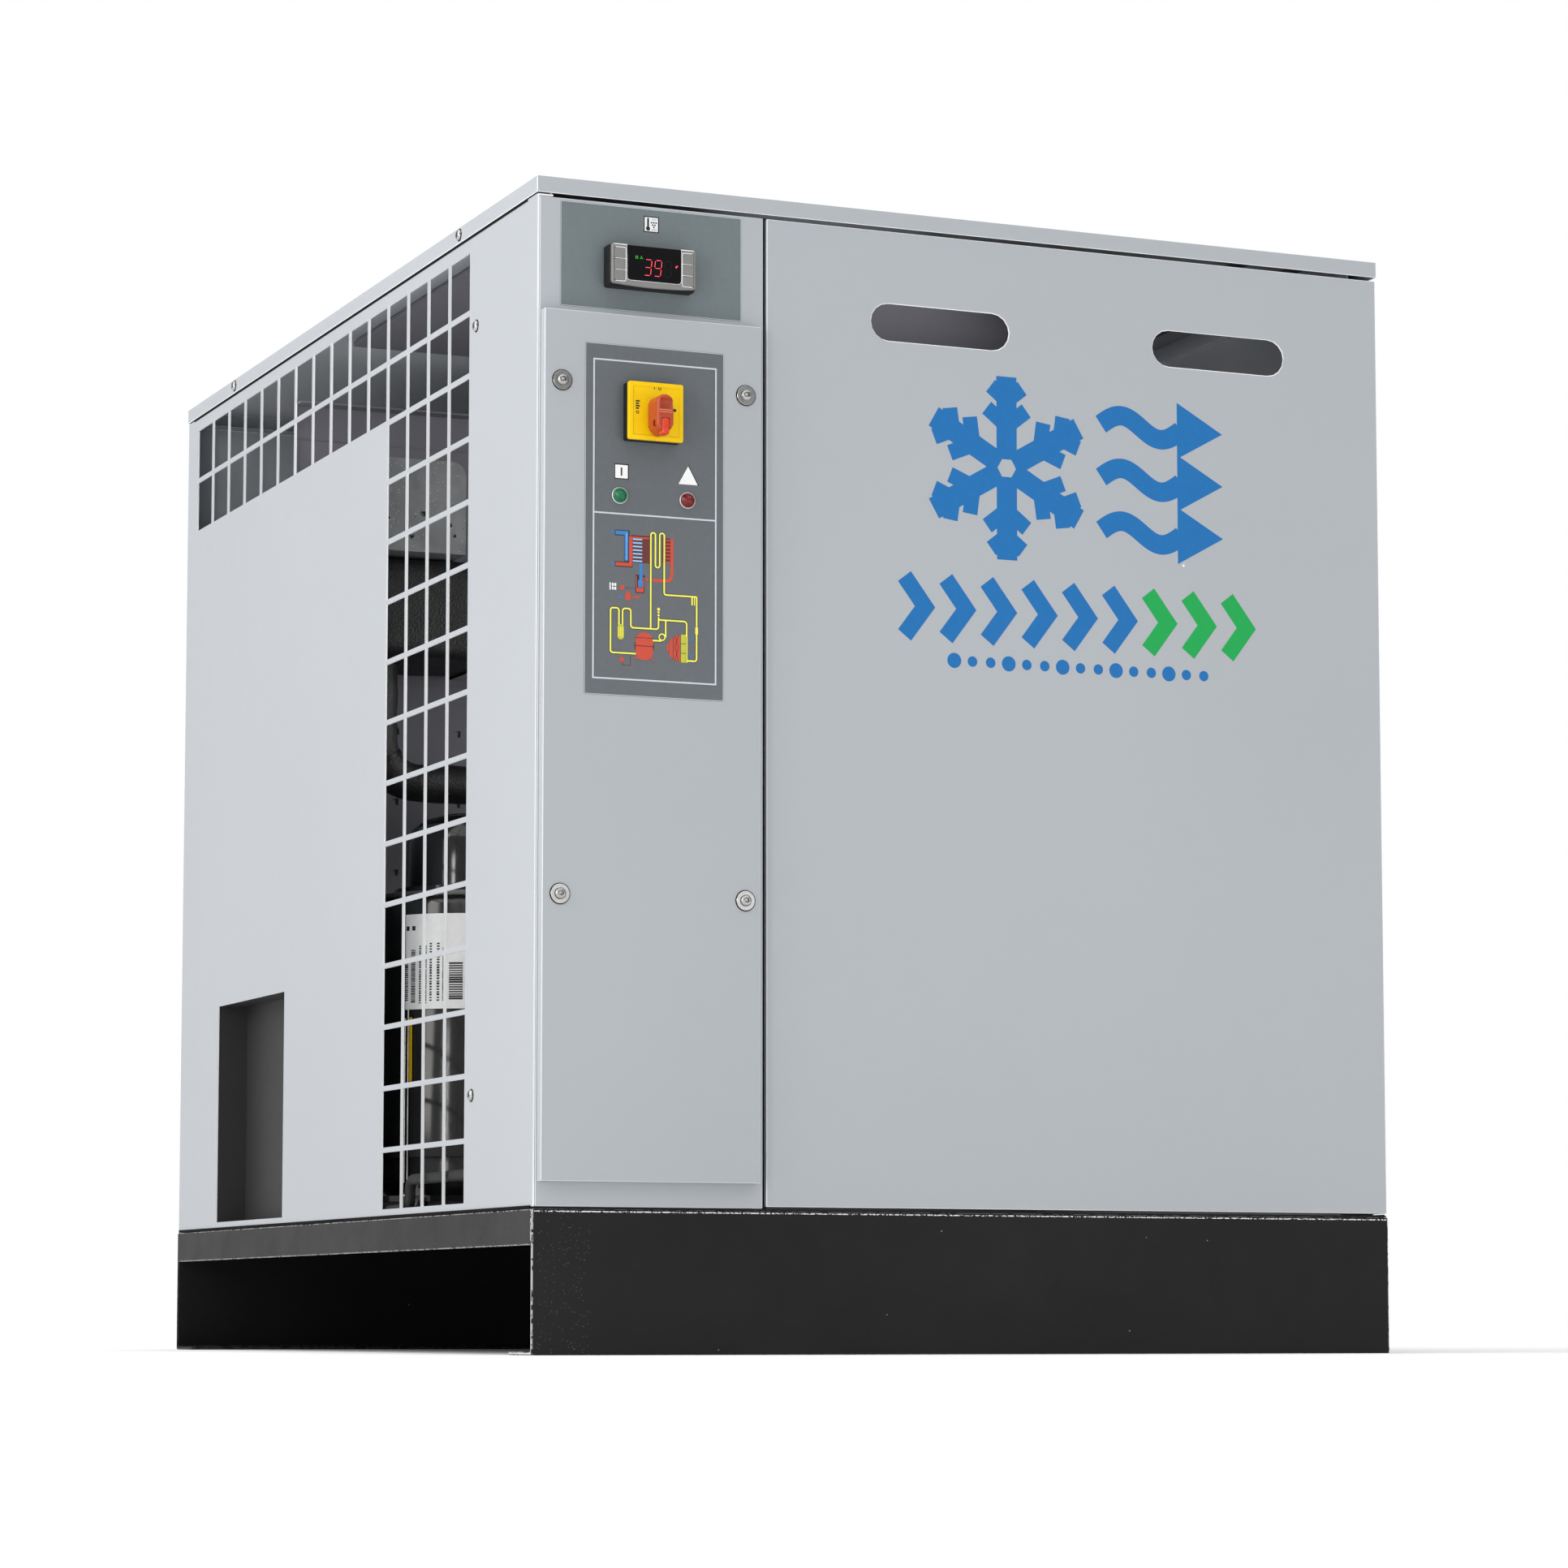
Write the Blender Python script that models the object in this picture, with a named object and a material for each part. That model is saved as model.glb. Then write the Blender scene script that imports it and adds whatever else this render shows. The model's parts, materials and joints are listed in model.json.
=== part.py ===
"""Refrigerated compressed-air dryer: sheet-metal cabinet on a fork-lift base.

Units are metres.  +X is the machine's right as seen from its front, the front
faces -Y, +Z is up, and the origin is the middle of the footprint on the floor.
"""
import math

import bmesh
import bpy
from mathutils import Matrix, Vector

# ---------------------------------------------------------------- sizes
WIDTH = 0.790                # base and lid, along X
DEPTH = 1.050                # base and lid, along Y
HEIGHT = 0.962
SHEET = 0.0015               # casing sheet
PLATE = 0.003                # base and frame plate
GAP = 0.0003                 # gap that touching pieces keep
CASING_INSET = 0.001         # the panels stand this far inside the lid and base
CORNER_STEP = 0.0007         # front edge of the left panel, behind the column's face

BASE_HEIGHT = 0.117
BASE_LIP = 0.055             # lips folded inwards under the front and rear beams
RAIL_DROP = 0.029            # height of the side rails, above the fork pockets
RAIL_FLANGE = 0.040
PAN_THICKNESS = 0.0014

LID_HEIGHT = 0.014
PANEL_BOTTOM = 0.119
PANEL_TOP = 0.945
SIDE_TOP = 0.947
RETURN_DEPTH = 0.020         # folded edges of the casing panels

COLUMN_WIDTH = 0.201         # control column, measured from the left edge
COVER_PROUD = 0.010
COVER_SIDES = (0.004, 0.195)             # from the left edge
COVER_HEIGHTS = (0.139, 0.850)
COVER_SCREW_SIDES = (0.0192, 0.1812)     # from the left edge
COVER_SCREW_HEIGHTS = (0.3704, 0.7910)

FRONT_PANEL_LEFT = 0.2042    # from the left edge
SLOT_LENGTH = 0.1288
SLOT_HEIGHT = 0.0316
SLOT_CENTRES = (-0.0308, 0.2361)
SLOT_Z = 0.8668

GRILLE_BAR = 0.0045
GRILLE_FRONT = 0.170         # from the front edge to the first cell
GRILLE_SPAN = 0.844
GRILLE_BOTTOM = 0.1254
GRILLE_RISE = 0.8086
GRILLE_COUNT = 15            # cells each way
GRILLE_FULL_ROWS = 2         # rows at the top that run the full depth
GRILLE_FRONT_COLUMNS = 4     # columns that run the full height

RECESS_FRONT = 0.691         # from the front edge
RECESS_LENGTH = 0.225
RECESS_BOTTOM = 0.125
RECESS_RISE = 0.213
RECESS_DEPTH = 0.032

REACH = 0.570                # half length over the switch knob and the pipe ends
PIPE_Z = 0.6875
PIPE_SIDES = (-0.100, 0.100)
PIPE_RADIUS = 0.03015
PIPE_BORE = 0.0262
DRAIN_Z = 0.220
DRAIN_STEM_Y = 0.543
GLAND_X = -0.250
GLAND_Z = 0.300

FAN_Y = -0.160
FAN_Z = 0.460
FAN_RADIUS = 0.190
CONDENSER_BACK = 0.340       # inner face of the condenser
CONDENSER_SIZE = 0.520

LEFT = -WIDTH / 2
RIGHT = WIDTH / 2
FRONT = -DEPTH / 2
REAR = DEPTH / 2
PANEL_FRONT = FRONT + CASING_INSET       # outer face of the front panels
PANEL_LEFT = LEFT + CASING_INSET         # outer face of the left panel
COVER_FRONT = PANEL_FRONT - COVER_PROUD  # outer face of the control cover
PAN_TOP = BASE_HEIGHT + GAP + PAN_THICKNESS


# ---------------------------------------------------------------- materials
def material(name, colour, roughness, metallic=0.0):
    made = bpy.data.materials.new(name)
    made.use_nodes = True
    shader = made.node_tree.nodes["Principled BSDF"]
    shader.inputs["Base Color"].default_value = (*colour, 1.0)
    shader.inputs["Roughness"].default_value = roughness
    shader.inputs["Metallic"].default_value = metallic
    made.diffuse_color = (*colour, 1.0)
    return made


def clear_scene():
    for thing in list(bpy.data.objects):
        bpy.data.objects.remove(thing, do_unlink=True)


clear_scene()
GREY_PAINT = material("grey_paint", (0.56, 0.59, 0.62), 0.45, 0.2)
BLACK_PAINT = material("black_paint", (0.02, 0.02, 0.022), 0.55)
DARK_SHEET = material("dark_sheet", (0.07, 0.07, 0.08), 0.6)
GALVANISED = material("galvanised", (0.50, 0.52, 0.53), 0.45, 0.9)
STEEL = material("steel", (0.62, 0.62, 0.62), 0.3, 1.0)
COPPER = material("copper", (0.72, 0.38, 0.22), 0.3, 1.0)
BRASS = material("brass", (0.75, 0.58, 0.25), 0.3, 1.0)
BLACK_PLASTIC = material("black_plastic", (0.03, 0.03, 0.03), 0.4)
GREY_PLASTIC = material("grey_plastic", (0.35, 0.36, 0.37), 0.4)
YELLOW_PLASTIC = material("yellow_plastic", (0.80, 0.50, 0.01), 0.4)
ORANGE_PLASTIC = material("orange_plastic", (0.52, 0.08, 0.02), 0.35)
RED_PLASTIC = material("red_plastic", (0.62, 0.03, 0.01), 0.35)
GREEN_LENS = material("green_lens", (0.0, 0.25, 0.10), 0.15)
RED_LENS = material("red_lens", (0.35, 0.01, 0.01), 0.15)
DARK_WINDOW = material("dark_window", (0.01, 0.01, 0.012), 0.08)
FOAM = material("foam", (0.02, 0.02, 0.02), 0.85)
ENAMEL = material("enamel", (0.02, 0.02, 0.02), 0.15)


# ---------------------------------------------------------------- shape tools
def finish(name, mesh, paint, smooth_angle=None):
    """Put a bmesh into a new object."""
    bmesh.ops.recalc_face_normals(mesh, faces=mesh.faces)
    data = bpy.data.meshes.new(name)
    mesh.to_mesh(data)
    mesh.free()
    if paint is not None:
        data.materials.append(paint)
    if smooth_angle is not None:
        data.shade_smooth()
        data.set_sharp_from_angle(angle=math.radians(smooth_angle))
    thing = bpy.data.objects.new(name, data)
    bpy.context.scene.collection.objects.link(thing)
    return thing


def add_box(mesh, low, high):
    """Add a box between two corners to a bmesh, and return its faces."""
    low = Vector(low)
    high = Vector(high)
    place = Matrix.Translation((low + high) / 2) @ Matrix.Diagonal((*(high - low), 1.0))
    made = bmesh.ops.create_cube(mesh, size=1.0, matrix=place)
    return {face for vertex in made["verts"] for face in vertex.link_faces}


def box(name, low, high, paint):
    mesh = bmesh.new()
    add_box(mesh, low, high)
    return finish(name, mesh, paint)


def tray(name, low, high, wall, open_axis, open_sign, paint):
    """A box of sheet with one open side: a plate with its edges folded back."""
    mesh = bmesh.new()
    outward = Vector((0.0, 0.0, 0.0))
    outward[open_axis] = open_sign
    mouth = [face for face in add_box(mesh, low, high)
             if face.normal.dot(outward) > 0.9]
    bmesh.ops.inset_region(mesh, faces=mouth, thickness=wall)
    pushed = bmesh.ops.extrude_face_region(mesh, geom=mouth)
    bmesh.ops.delete(mesh, geom=mouth, context="FACES_ONLY")
    inner = [part for part in pushed["geom"] if isinstance(part, bmesh.types.BMVert)]
    depth = high[open_axis] - low[open_axis] - wall
    bmesh.ops.translate(mesh, verts=inner, vec=-outward * depth)
    return finish(name, mesh, paint)


def add_prism(mesh, outline, axis, start, end):
    """Extrude a closed outline along an axis; the outline gives the other two axes."""
    others = [number for number in range(3) if number != axis]
    ring = []
    for first, second in outline:
        point = [0.0, 0.0, 0.0]
        point[axis] = start
        point[others[0]] = first
        point[others[1]] = second
        ring.append(mesh.verts.new(point))
    cap = mesh.faces.new(ring)
    pushed = bmesh.ops.extrude_face_region(mesh, geom=[cap], use_keep_orig=True)
    moved = [part for part in pushed["geom"] if isinstance(part, bmesh.types.BMVert)]
    step = Vector((0.0, 0.0, 0.0))
    step[axis] = end - start
    bmesh.ops.translate(mesh, verts=moved, vec=step)


def prism(name, outline, axis, start, end, paint):
    mesh = bmesh.new()
    add_prism(mesh, outline, axis, start, end)
    return finish(name, mesh, paint)


def add_turned(mesh, profile, axis, centre, steps):
    """Turn a closed (radius, distance) outline round an axis through centre."""
    others = [number for number in range(3) if number != axis]
    rings = []
    for radius, along in profile:
        count = 1 if radius == 0.0 else steps
        ring = []
        for step in range(count):
            angle = 2 * math.pi * step / steps
            point = list(centre)
            point[axis] += along
            point[others[0]] += radius * math.cos(angle)
            point[others[1]] += radius * math.sin(angle)
            ring.append(mesh.verts.new(point))
        rings.append(ring)
    for ring, after in zip(rings, rings[1:] + rings[:1]):
        if len(ring) == 1 and len(after) == 1:
            continue
        for step in range(steps):
            near = (step + 1) % steps
            if len(ring) == 1:
                corners = (ring[0], after[step], after[near])
            elif len(after) == 1:
                corners = (ring[step], after[0], ring[near])
            else:
                corners = (ring[step], after[step], after[near], ring[near])
            mesh.faces.new(corners)


def turned(name, profile, axis, centre, steps, paint):
    mesh = bmesh.new()
    add_turned(mesh, profile, axis, centre, steps)
    return finish(name, mesh, paint, smooth_angle=35)


def join_or_cut(target, operation, mesh, name):
    """Apply a Boolean to target with a hidden helper made from mesh."""
    helper = finish(name, mesh, None)
    helper.hide_render = True
    helper.display_type = "WIRE"
    step = target.modifiers.new(name, "BOOLEAN")
    step.operation = operation
    step.solver = "EXACT"
    step.object = helper
    return target


def cut_boxes(target, boxes, name):
    mesh = bmesh.new()
    for low, high in boxes:
        add_box(mesh, low, high)
    return join_or_cut(target, "DIFFERENCE", mesh, name)


def cut_bores(target, axis, centres, radius, length, name, steps=16):
    """Cut round holes of one radius, each centred on its point."""
    mesh = bmesh.new()
    rod = [(0.0, -length / 2), (radius, -length / 2), (radius, length / 2), (0.0, length / 2)]
    for centre in centres:
        add_turned(mesh, rod, axis, centre, steps)
    return join_or_cut(target, "DIFFERENCE", mesh, name)


def add_boxes(target, boxes, name):
    mesh = bmesh.new()
    for low, high in boxes:
        add_box(mesh, low, high)
    return join_or_cut(target, "UNION", mesh, name)


def obround(centre, length, height, steps=8):
    """Outline of a slot with round ends, long in the first direction."""
    radius = height / 2
    reach = length / 2 - radius
    points = []
    for side in (1, -1):
        for step in range(steps + 1):
            angle = -math.pi / 2 + math.pi * step / steps
            points.append((centre[0] + side * (reach + radius * math.cos(angle)),
                           centre[1] + side * radius * math.sin(angle)))
    return points


def rounded_route(corners, bend, steps=4):
    """Points along straight runs joined by round bends, as a bent pipe has."""
    points = [Vector(corners[0])]
    for before, corner, after in zip(corners, corners[1:], corners[2:]):
        corner = Vector(corner)
        inward = (corner - Vector(before)).normalized()
        outward = (Vector(after) - corner).normalized()
        turn = inward.angle(outward)
        cut = bend * math.tan(turn / 2)
        middle = corner + (outward - inward).normalized() * bend / math.cos(turn / 2)
        first = corner - inward * cut - middle
        last = corner + outward * cut - middle
        for step in range(steps + 1):
            points.append(middle + first.slerp(last, step / steps).normalized() * bend)
    points.append(Vector(corners[-1]))
    return points


def pipe(name, corners, bend, radius, paint):
    """A bent pipe as a bevelled curve with filled ends."""
    curve = bpy.data.curves.new(name, "CURVE")
    curve.dimensions = "3D"
    curve.bevel_depth = radius
    curve.bevel_resolution = 2
    curve.use_fill_caps = True
    route = rounded_route(corners, bend)
    line = curve.splines.new("POLY")
    line.points.add(len(route) - 1)
    for point, place in zip(line.points, route):
        point.co = (*place, 1.0)
    curve.materials.append(paint)
    thing = bpy.data.objects.new(name, curve)
    bpy.context.scene.collection.objects.link(thing)
    return thing


def grille_cells(low, span, counts, keep):
    """Corners, in two directions, of the cells of a punched grid."""
    sizes = [(span[n] - (counts[n] - 1) * GRILLE_BAR) / counts[n] for n in (0, 1)]
    for column in range(counts[0]):
        for row in range(counts[1]):
            if keep(column, row):
                start = [low[n] + (column, row)[n] * (sizes[n] + GRILLE_BAR) for n in (0, 1)]
                yield start, [start[n] + sizes[n] for n in (0, 1)]


# ---------------------------------------------------------------- base
def make_base():
    web = PLATE
    for name, face, inward in (("base_front_beam", FRONT, 1), ("base_rear_beam", REAR, -1)):
        lip = face + inward * BASE_LIP
        skin = face + inward * web
        outline = [(face, 0.0), (lip, 0.0), (lip, web), (skin, web),
                   (skin, BASE_HEIGHT - web), (lip, BASE_HEIGHT - web),
                   (lip, BASE_HEIGHT), (face, BASE_HEIGHT)]
        beam = prism(name, outline, 0, LEFT, RIGHT, BLACK_PAINT)
        notch = RAIL_FLANGE + GAP
        near, far = sorted((skin, lip + inward * 0.01))
        ends = ((LEFT - 0.01, LEFT + notch), (RIGHT - notch, RIGHT + 0.01))
        cut_boxes(beam, [((low, near, BASE_HEIGHT - web - 0.001), (high, far, BASE_HEIGHT + 0.01))
                         for low, high in ends], name + "_notches")
    run = REAR - web - GAP
    low_edge = BASE_HEIGHT - RAIL_DROP
    for name, edge, inward in (("base_left_rail", LEFT, 1), ("base_right_rail", RIGHT, -1)):
        outline = [(edge, low_edge), (edge + inward * web, low_edge),
                   (edge + inward * web, BASE_HEIGHT - web),
                   (edge + inward * RAIL_FLANGE, BASE_HEIGHT - web),
                   (edge + inward * RAIL_FLANGE, BASE_HEIGHT), (edge, BASE_HEIGHT)]
        prism(name, outline, 1, -run, run, BLACK_PAINT)
    side = RIGHT - CASING_INSET - GAP
    end = REAR - CASING_INSET - GAP
    box("base_pan", (-side, -end, PAN_TOP - PAN_THICKNESS), (side, end, PAN_TOP), BLACK_PAINT)


# ---------------------------------------------------------------- casing
def side_outline(outer, inward):
    """Side panel: a flat sheet with a shelf and an upright lip that carries the lid."""
    inner = outer + inward * SHEET
    shelf = outer + inward * 0.0135
    lip_top = HEIGHT - SHEET - GAP
    return [(outer, PANEL_BOTTOM), (inner, PANEL_BOTTOM), (inner, SIDE_TOP - SHEET),
            (shelf, SIDE_TOP - SHEET), (shelf, lip_top), (shelf - inward * SHEET, lip_top),
            (shelf - inward * SHEET, SIDE_TOP), (outer, SIDE_TOP)]


SIDE_SCREW_Y = FRONT + 0.152
SIDE_SCREW_HEIGHTS = (0.2147, 0.867)
LID_SCREW_Y = (FRONT + 0.195, FRONT + 0.880)
LID_SCREW_Z = 0.955


def lip_ends(side, first, last):
    """Boxes that cut the lip of a side panel back from the ends of the lid."""
    near, far = sorted((side, side * 0.9))
    for start, end in ((first - 0.01, first + 0.004), (last - 0.004, last + 0.01)):
        yield (near, start, SIDE_TOP + 0.0001), (far, end, HEIGHT)


def make_sides():
    left = prism("left_side_panel", side_outline(PANEL_LEFT, 1), 1, PANEL_FRONT + CORNER_STEP,
                 -PANEL_FRONT, GREY_PAINT)
    low = (FRONT + GRILLE_FRONT, GRILLE_BOTTOM)
    top_rows = GRILLE_COUNT - GRILLE_FULL_ROWS
    cells = grille_cells(low, (GRILLE_SPAN, GRILLE_RISE), (GRILLE_COUNT, GRILLE_COUNT),
                         lambda column, row: row >= top_rows or column < GRILLE_FRONT_COLUMNS)
    through = (PANEL_LEFT - 0.01, PANEL_LEFT + 0.01)
    holes = [((through[0], *start), (through[1], *end)) for start, end in cells]
    recess = FRONT + RECESS_FRONT
    holes.append(((through[0], recess, RECESS_BOTTOM),
                  (through[1], recess + RECESS_LENGTH, RECESS_BOTTOM + RECESS_RISE)))
    holes.extend(lip_ends(LEFT, PANEL_FRONT, -PANEL_FRONT))
    cut_boxes(left, holes, "left_side_panel_openings")
    cut_bores(left, 0, [(PANEL_LEFT, SIDE_SCREW_Y, z) for z in SIDE_SCREW_HEIGHTS], 0.0029,
              0.02, "left_side_panel_bores", 10)

    start_y = PANEL_FRONT + RETURN_DEPTH + SHEET + GAP
    right = prism("right_side_panel", side_outline(-PANEL_LEFT, -1), 1, start_y, -PANEL_FRONT,
                  GREY_PAINT)
    low = (FAN_Y - 0.250, FAN_Z - 0.240)
    cells = grille_cells(low, (0.500, 0.480), (9, 9), lambda column, row: True)
    through = (-PANEL_LEFT - 0.01, -PANEL_LEFT + 0.01)
    holes = [((through[0], *start), (through[1], *end)) for start, end in cells]
    holes.extend(lip_ends(RIGHT, start_y, -PANEL_FRONT))
    cut_boxes(right, holes, "right_side_panel_openings")

    tray("service_recess",
         (PANEL_LEFT + SHEET + GAP, recess - SHEET, RECESS_BOTTOM - SHEET),
         (PANEL_LEFT + RECESS_DEPTH, recess + RECESS_LENGTH + SHEET,
          RECESS_BOTTOM + RECESS_RISE + SHEET), SHEET, 0, -1, DARK_SHEET)


def make_rear_panel():
    inner = -PANEL_LEFT - SHEET - GAP
    rear = tray("rear_panel", (-inner, REAR - CASING_INSET - RETURN_DEPTH, PANEL_BOTTOM),
                (inner, REAR - CASING_INSET, PANEL_TOP), SHEET, 1, -1, GREY_PAINT)
    middle = REAR - CASING_INSET
    cut_bores(rear, 1, [(x, middle, PIPE_Z) for x in PIPE_SIDES], PIPE_RADIUS + 0.0015, 0.02,
              "rear_panel_pipe_holes", 24)
    cut_bores(rear, 1, [(0.0, middle, DRAIN_Z), (GLAND_X, middle, GLAND_Z)], 0.0125, 0.02,
              "rear_panel_small_holes")


def make_lid():
    lid = tray("lid", (LEFT, FRONT, HEIGHT - LID_HEIGHT), (RIGHT, REAR, HEIGHT), SHEET, 2, -1,
               GREY_PAINT)
    cut_bores(lid, 0, [(side, y, LID_SCREW_Z) for side in (LEFT, RIGHT) for y in LID_SCREW_Y],
              0.0029, 0.01, "lid_bores", 10)
    for side, edge, outward in (("left", LEFT, -1), ("right", RIGHT, 1)):
        for end, y in zip(("front", "rear"), LID_SCREW_Y):
            place_screw("lid_screw_%s_%s" % (side, end), 0, (edge, y, LID_SCREW_Z), outward,
                        0.0050, 0.0027, 0.012)


def place_screw(name, axis, seat, outward, head_radius, head_height, length):
    """A round-headed screw with a socket; seat is where its head meets the sheet."""
    shank = 0.0025
    socket = head_radius * 0.35
    profile = [(0.0, -length), (shank, -length), (shank, GAP), (head_radius, GAP),
               (head_radius, head_height * 0.55), (head_radius * 0.7, head_height + GAP),
               (socket, head_height + GAP), (socket, head_height * 0.4),
               (0.0, head_height * 0.4)]
    profile = [(radius, along * outward) for radius, along in profile]
    return turned(name, profile, axis, seat, 10, STEEL)


def make_side_screws():
    for end, z in zip(("lower", "upper"), SIDE_SCREW_HEIGHTS):
        place_screw("side_screw_" + end, 0, (PANEL_LEFT, SIDE_SCREW_Y, z), -1, 0.0050, 0.0027,
                    0.010)


# ---------------------------------------------------------------- control column
CONTROLLER_X = LEFT + 0.0970
CONTROLLER_Z = 0.8905
CONTROLLER_WIDTH = 0.077
CONTROLLER_HEIGHT = 0.035
CONTROLLER_FRONT = PANEL_FRONT - 0.0160
SWITCH_X = LEFT + 0.0965
SWITCH_Z = 0.7685
SWITCH_SIDE = 0.048
LAMP_SIDES = (LEFT + 0.0695, LEFT + 0.1290)
LAMP_Z = 0.699
WIRING_HOLE_SIDES = (0.030, 0.170)       # from the left edge
WIRING_HOLE_HEIGHTS = (0.165, 0.825)
CONTROLLER_CASE = (0.071, 0.029)         # the part behind the bezel
CONTROLLER_DEPTH = 0.060                 # behind the column's face


def make_column():
    left = PANEL_LEFT + SHEET + GAP
    right = LEFT + COLUMN_WIDTH
    back = PANEL_FRONT + RETURN_DEPTH
    skin = PANEL_FRONT + SHEET
    outline = [(left, PANEL_FRONT), (right, PANEL_FRONT), (right, back), (right - SHEET, back),
               (right - SHEET, skin), (left + SHEET, skin), (left + SHEET, back), (left, back)]
    column = prism("control_column", outline, 2, PANEL_BOTTOM, PANEL_TOP, GREY_PAINT)
    near, far = PANEL_FRONT - 0.01, PANEL_FRONT + 0.01
    half, tall = [size / 2 + GAP for size in CONTROLLER_CASE]
    cut_boxes(column, [
        ((CONTROLLER_X - half, near, CONTROLLER_Z - tall),
         (CONTROLLER_X + half, far, CONTROLLER_Z + tall)),
        ((LEFT + WIRING_HOLE_SIDES[0], near, WIRING_HOLE_HEIGHTS[0]),
         (LEFT + WIRING_HOLE_SIDES[1], far, WIRING_HOLE_HEIGHTS[1]))], "control_column_openings")
    screws = [(LEFT + x, PANEL_FRONT, z) for x in COVER_SCREW_SIDES for z in COVER_SCREW_HEIGHTS]
    cut_bores(column, 1, screws, 0.0032, 0.02, "control_column_bores", 10)

    case = tray("electrical_box", (left + GAP, back + GAP, 0.128),
                (right - GAP, FRONT + 0.163, 0.940), SHEET, 1, -1, GALVANISED)
    cut_bores(case, 0, [(left, SIDE_SCREW_Y, z) for z in SIDE_SCREW_HEIGHTS], 0.0032, 0.03,
              "electrical_box_bores", 10)


def make_cover():
    cover = tray("control_cover", (LEFT + COVER_SIDES[0], COVER_FRONT, COVER_HEIGHTS[0]),
                 (LEFT + COVER_SIDES[1], PANEL_FRONT - GAP, COVER_HEIGHTS[1]), SHEET, 1, 1,
                 GREY_PAINT)
    spots = [(x, z) for x in COVER_SCREW_SIDES for z in COVER_SCREW_HEIGHTS]
    cut_bores(cover, 1, [(LEFT + x, COVER_FRONT, z) for x, z in spots], 0.0032, 0.01,
              "control_cover_screw_holes", 10)
    cut_bores(cover, 1, [(x, COVER_FRONT, LAMP_Z) for x in LAMP_SIDES], 0.0058, 0.01,
              "control_cover_lamp_holes", 12)
    cut_bores(cover, 1, [(SWITCH_X, COVER_FRONT, SWITCH_Z)], 0.0060, 0.01,
              "control_cover_shaft_hole", 12)
    for number, (x, z) in enumerate(spots, start=1):
        place_screw("cover_screw_%d" % number, 1, (LEFT + x, COVER_FRONT, z), -1, 0.0085,
                    0.0040, 0.018)


def make_controller():
    half = CONTROLLER_WIDTH / 2
    tall = CONTROLLER_HEIGHT / 2
    body = box("controller_body",
               (CONTROLLER_X - half, CONTROLLER_FRONT, CONTROLLER_Z - tall),
               (CONTROLLER_X + half, PANEL_FRONT - GAP, CONTROLLER_Z + tall), GREY_PLASTIC)
    case = [size / 2 for size in CONTROLLER_CASE]
    add_boxes(body, [((CONTROLLER_X - case[0], PANEL_FRONT - 0.002, CONTROLLER_Z - case[1]),
                      (CONTROLLER_X + case[0], PANEL_FRONT + CONTROLLER_DEPTH,
                       CONTROLLER_Z + case[1]))], "controller_case")
    window = (0.0475, 0.0290)
    window_z = CONTROLLER_Z + 0.0022
    pocket = 0.0022
    key_size = (0.0090, 0.0082)
    key_pitch = 0.0094
    key_reach = 0.0302
    room = GAP
    pockets = [((CONTROLLER_X - window[0] / 2 - room, CONTROLLER_FRONT - 0.01,
                 window_z - window[1] / 2 - room),
                (CONTROLLER_X + window[0] / 2 + room, CONTROLLER_FRONT + pocket,
                 window_z + window[1] / 2 + room))]
    spots = [(side * key_reach, row * key_pitch) for side in (-1, 1) for row in (1, 0, -1)]
    for x, z in spots:
        centre = Vector((CONTROLLER_X + x, CONTROLLER_FRONT, CONTROLLER_Z + z))
        half_key = Vector((key_size[0] / 2 + room, 0.0, key_size[1] / 2 + room))
        pockets.append((centre - half_key - Vector((0, 0.01, 0)),
                        centre + half_key + Vector((0, 0.0030, 0))))
    cut_boxes(body, pockets, "controller_pockets")
    box("controller_window",
        (CONTROLLER_X - window[0] / 2, CONTROLLER_FRONT - 0.0004, window_z - window[1] / 2),
        (CONTROLLER_X + window[0] / 2, CONTROLLER_FRONT + pocket - GAP,
         window_z + window[1] / 2), DARK_WINDOW)
    for number, (x, z) in enumerate(spots, start=1):
        centre = Vector((CONTROLLER_X + x, CONTROLLER_FRONT, CONTROLLER_Z + z))
        half_key = Vector((key_size[0] / 2, 0.0, key_size[1] / 2))
        box("key_%d" % number, centre - half_key - Vector((0, 0.0008, 0)),
            centre + half_key + Vector((0, 0.0018, 0)), GREY_PLASTIC)


KNOB_LENGTH = 0.0325
KNOB_WIDTH = 0.0150
KNOB_DROP = 0.0052           # middle of the knob, below its shaft
TAB_WIDTH = 0.0060
TAB_HEIGHTS = (-0.0225, -0.0095)         # from the shaft


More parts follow.
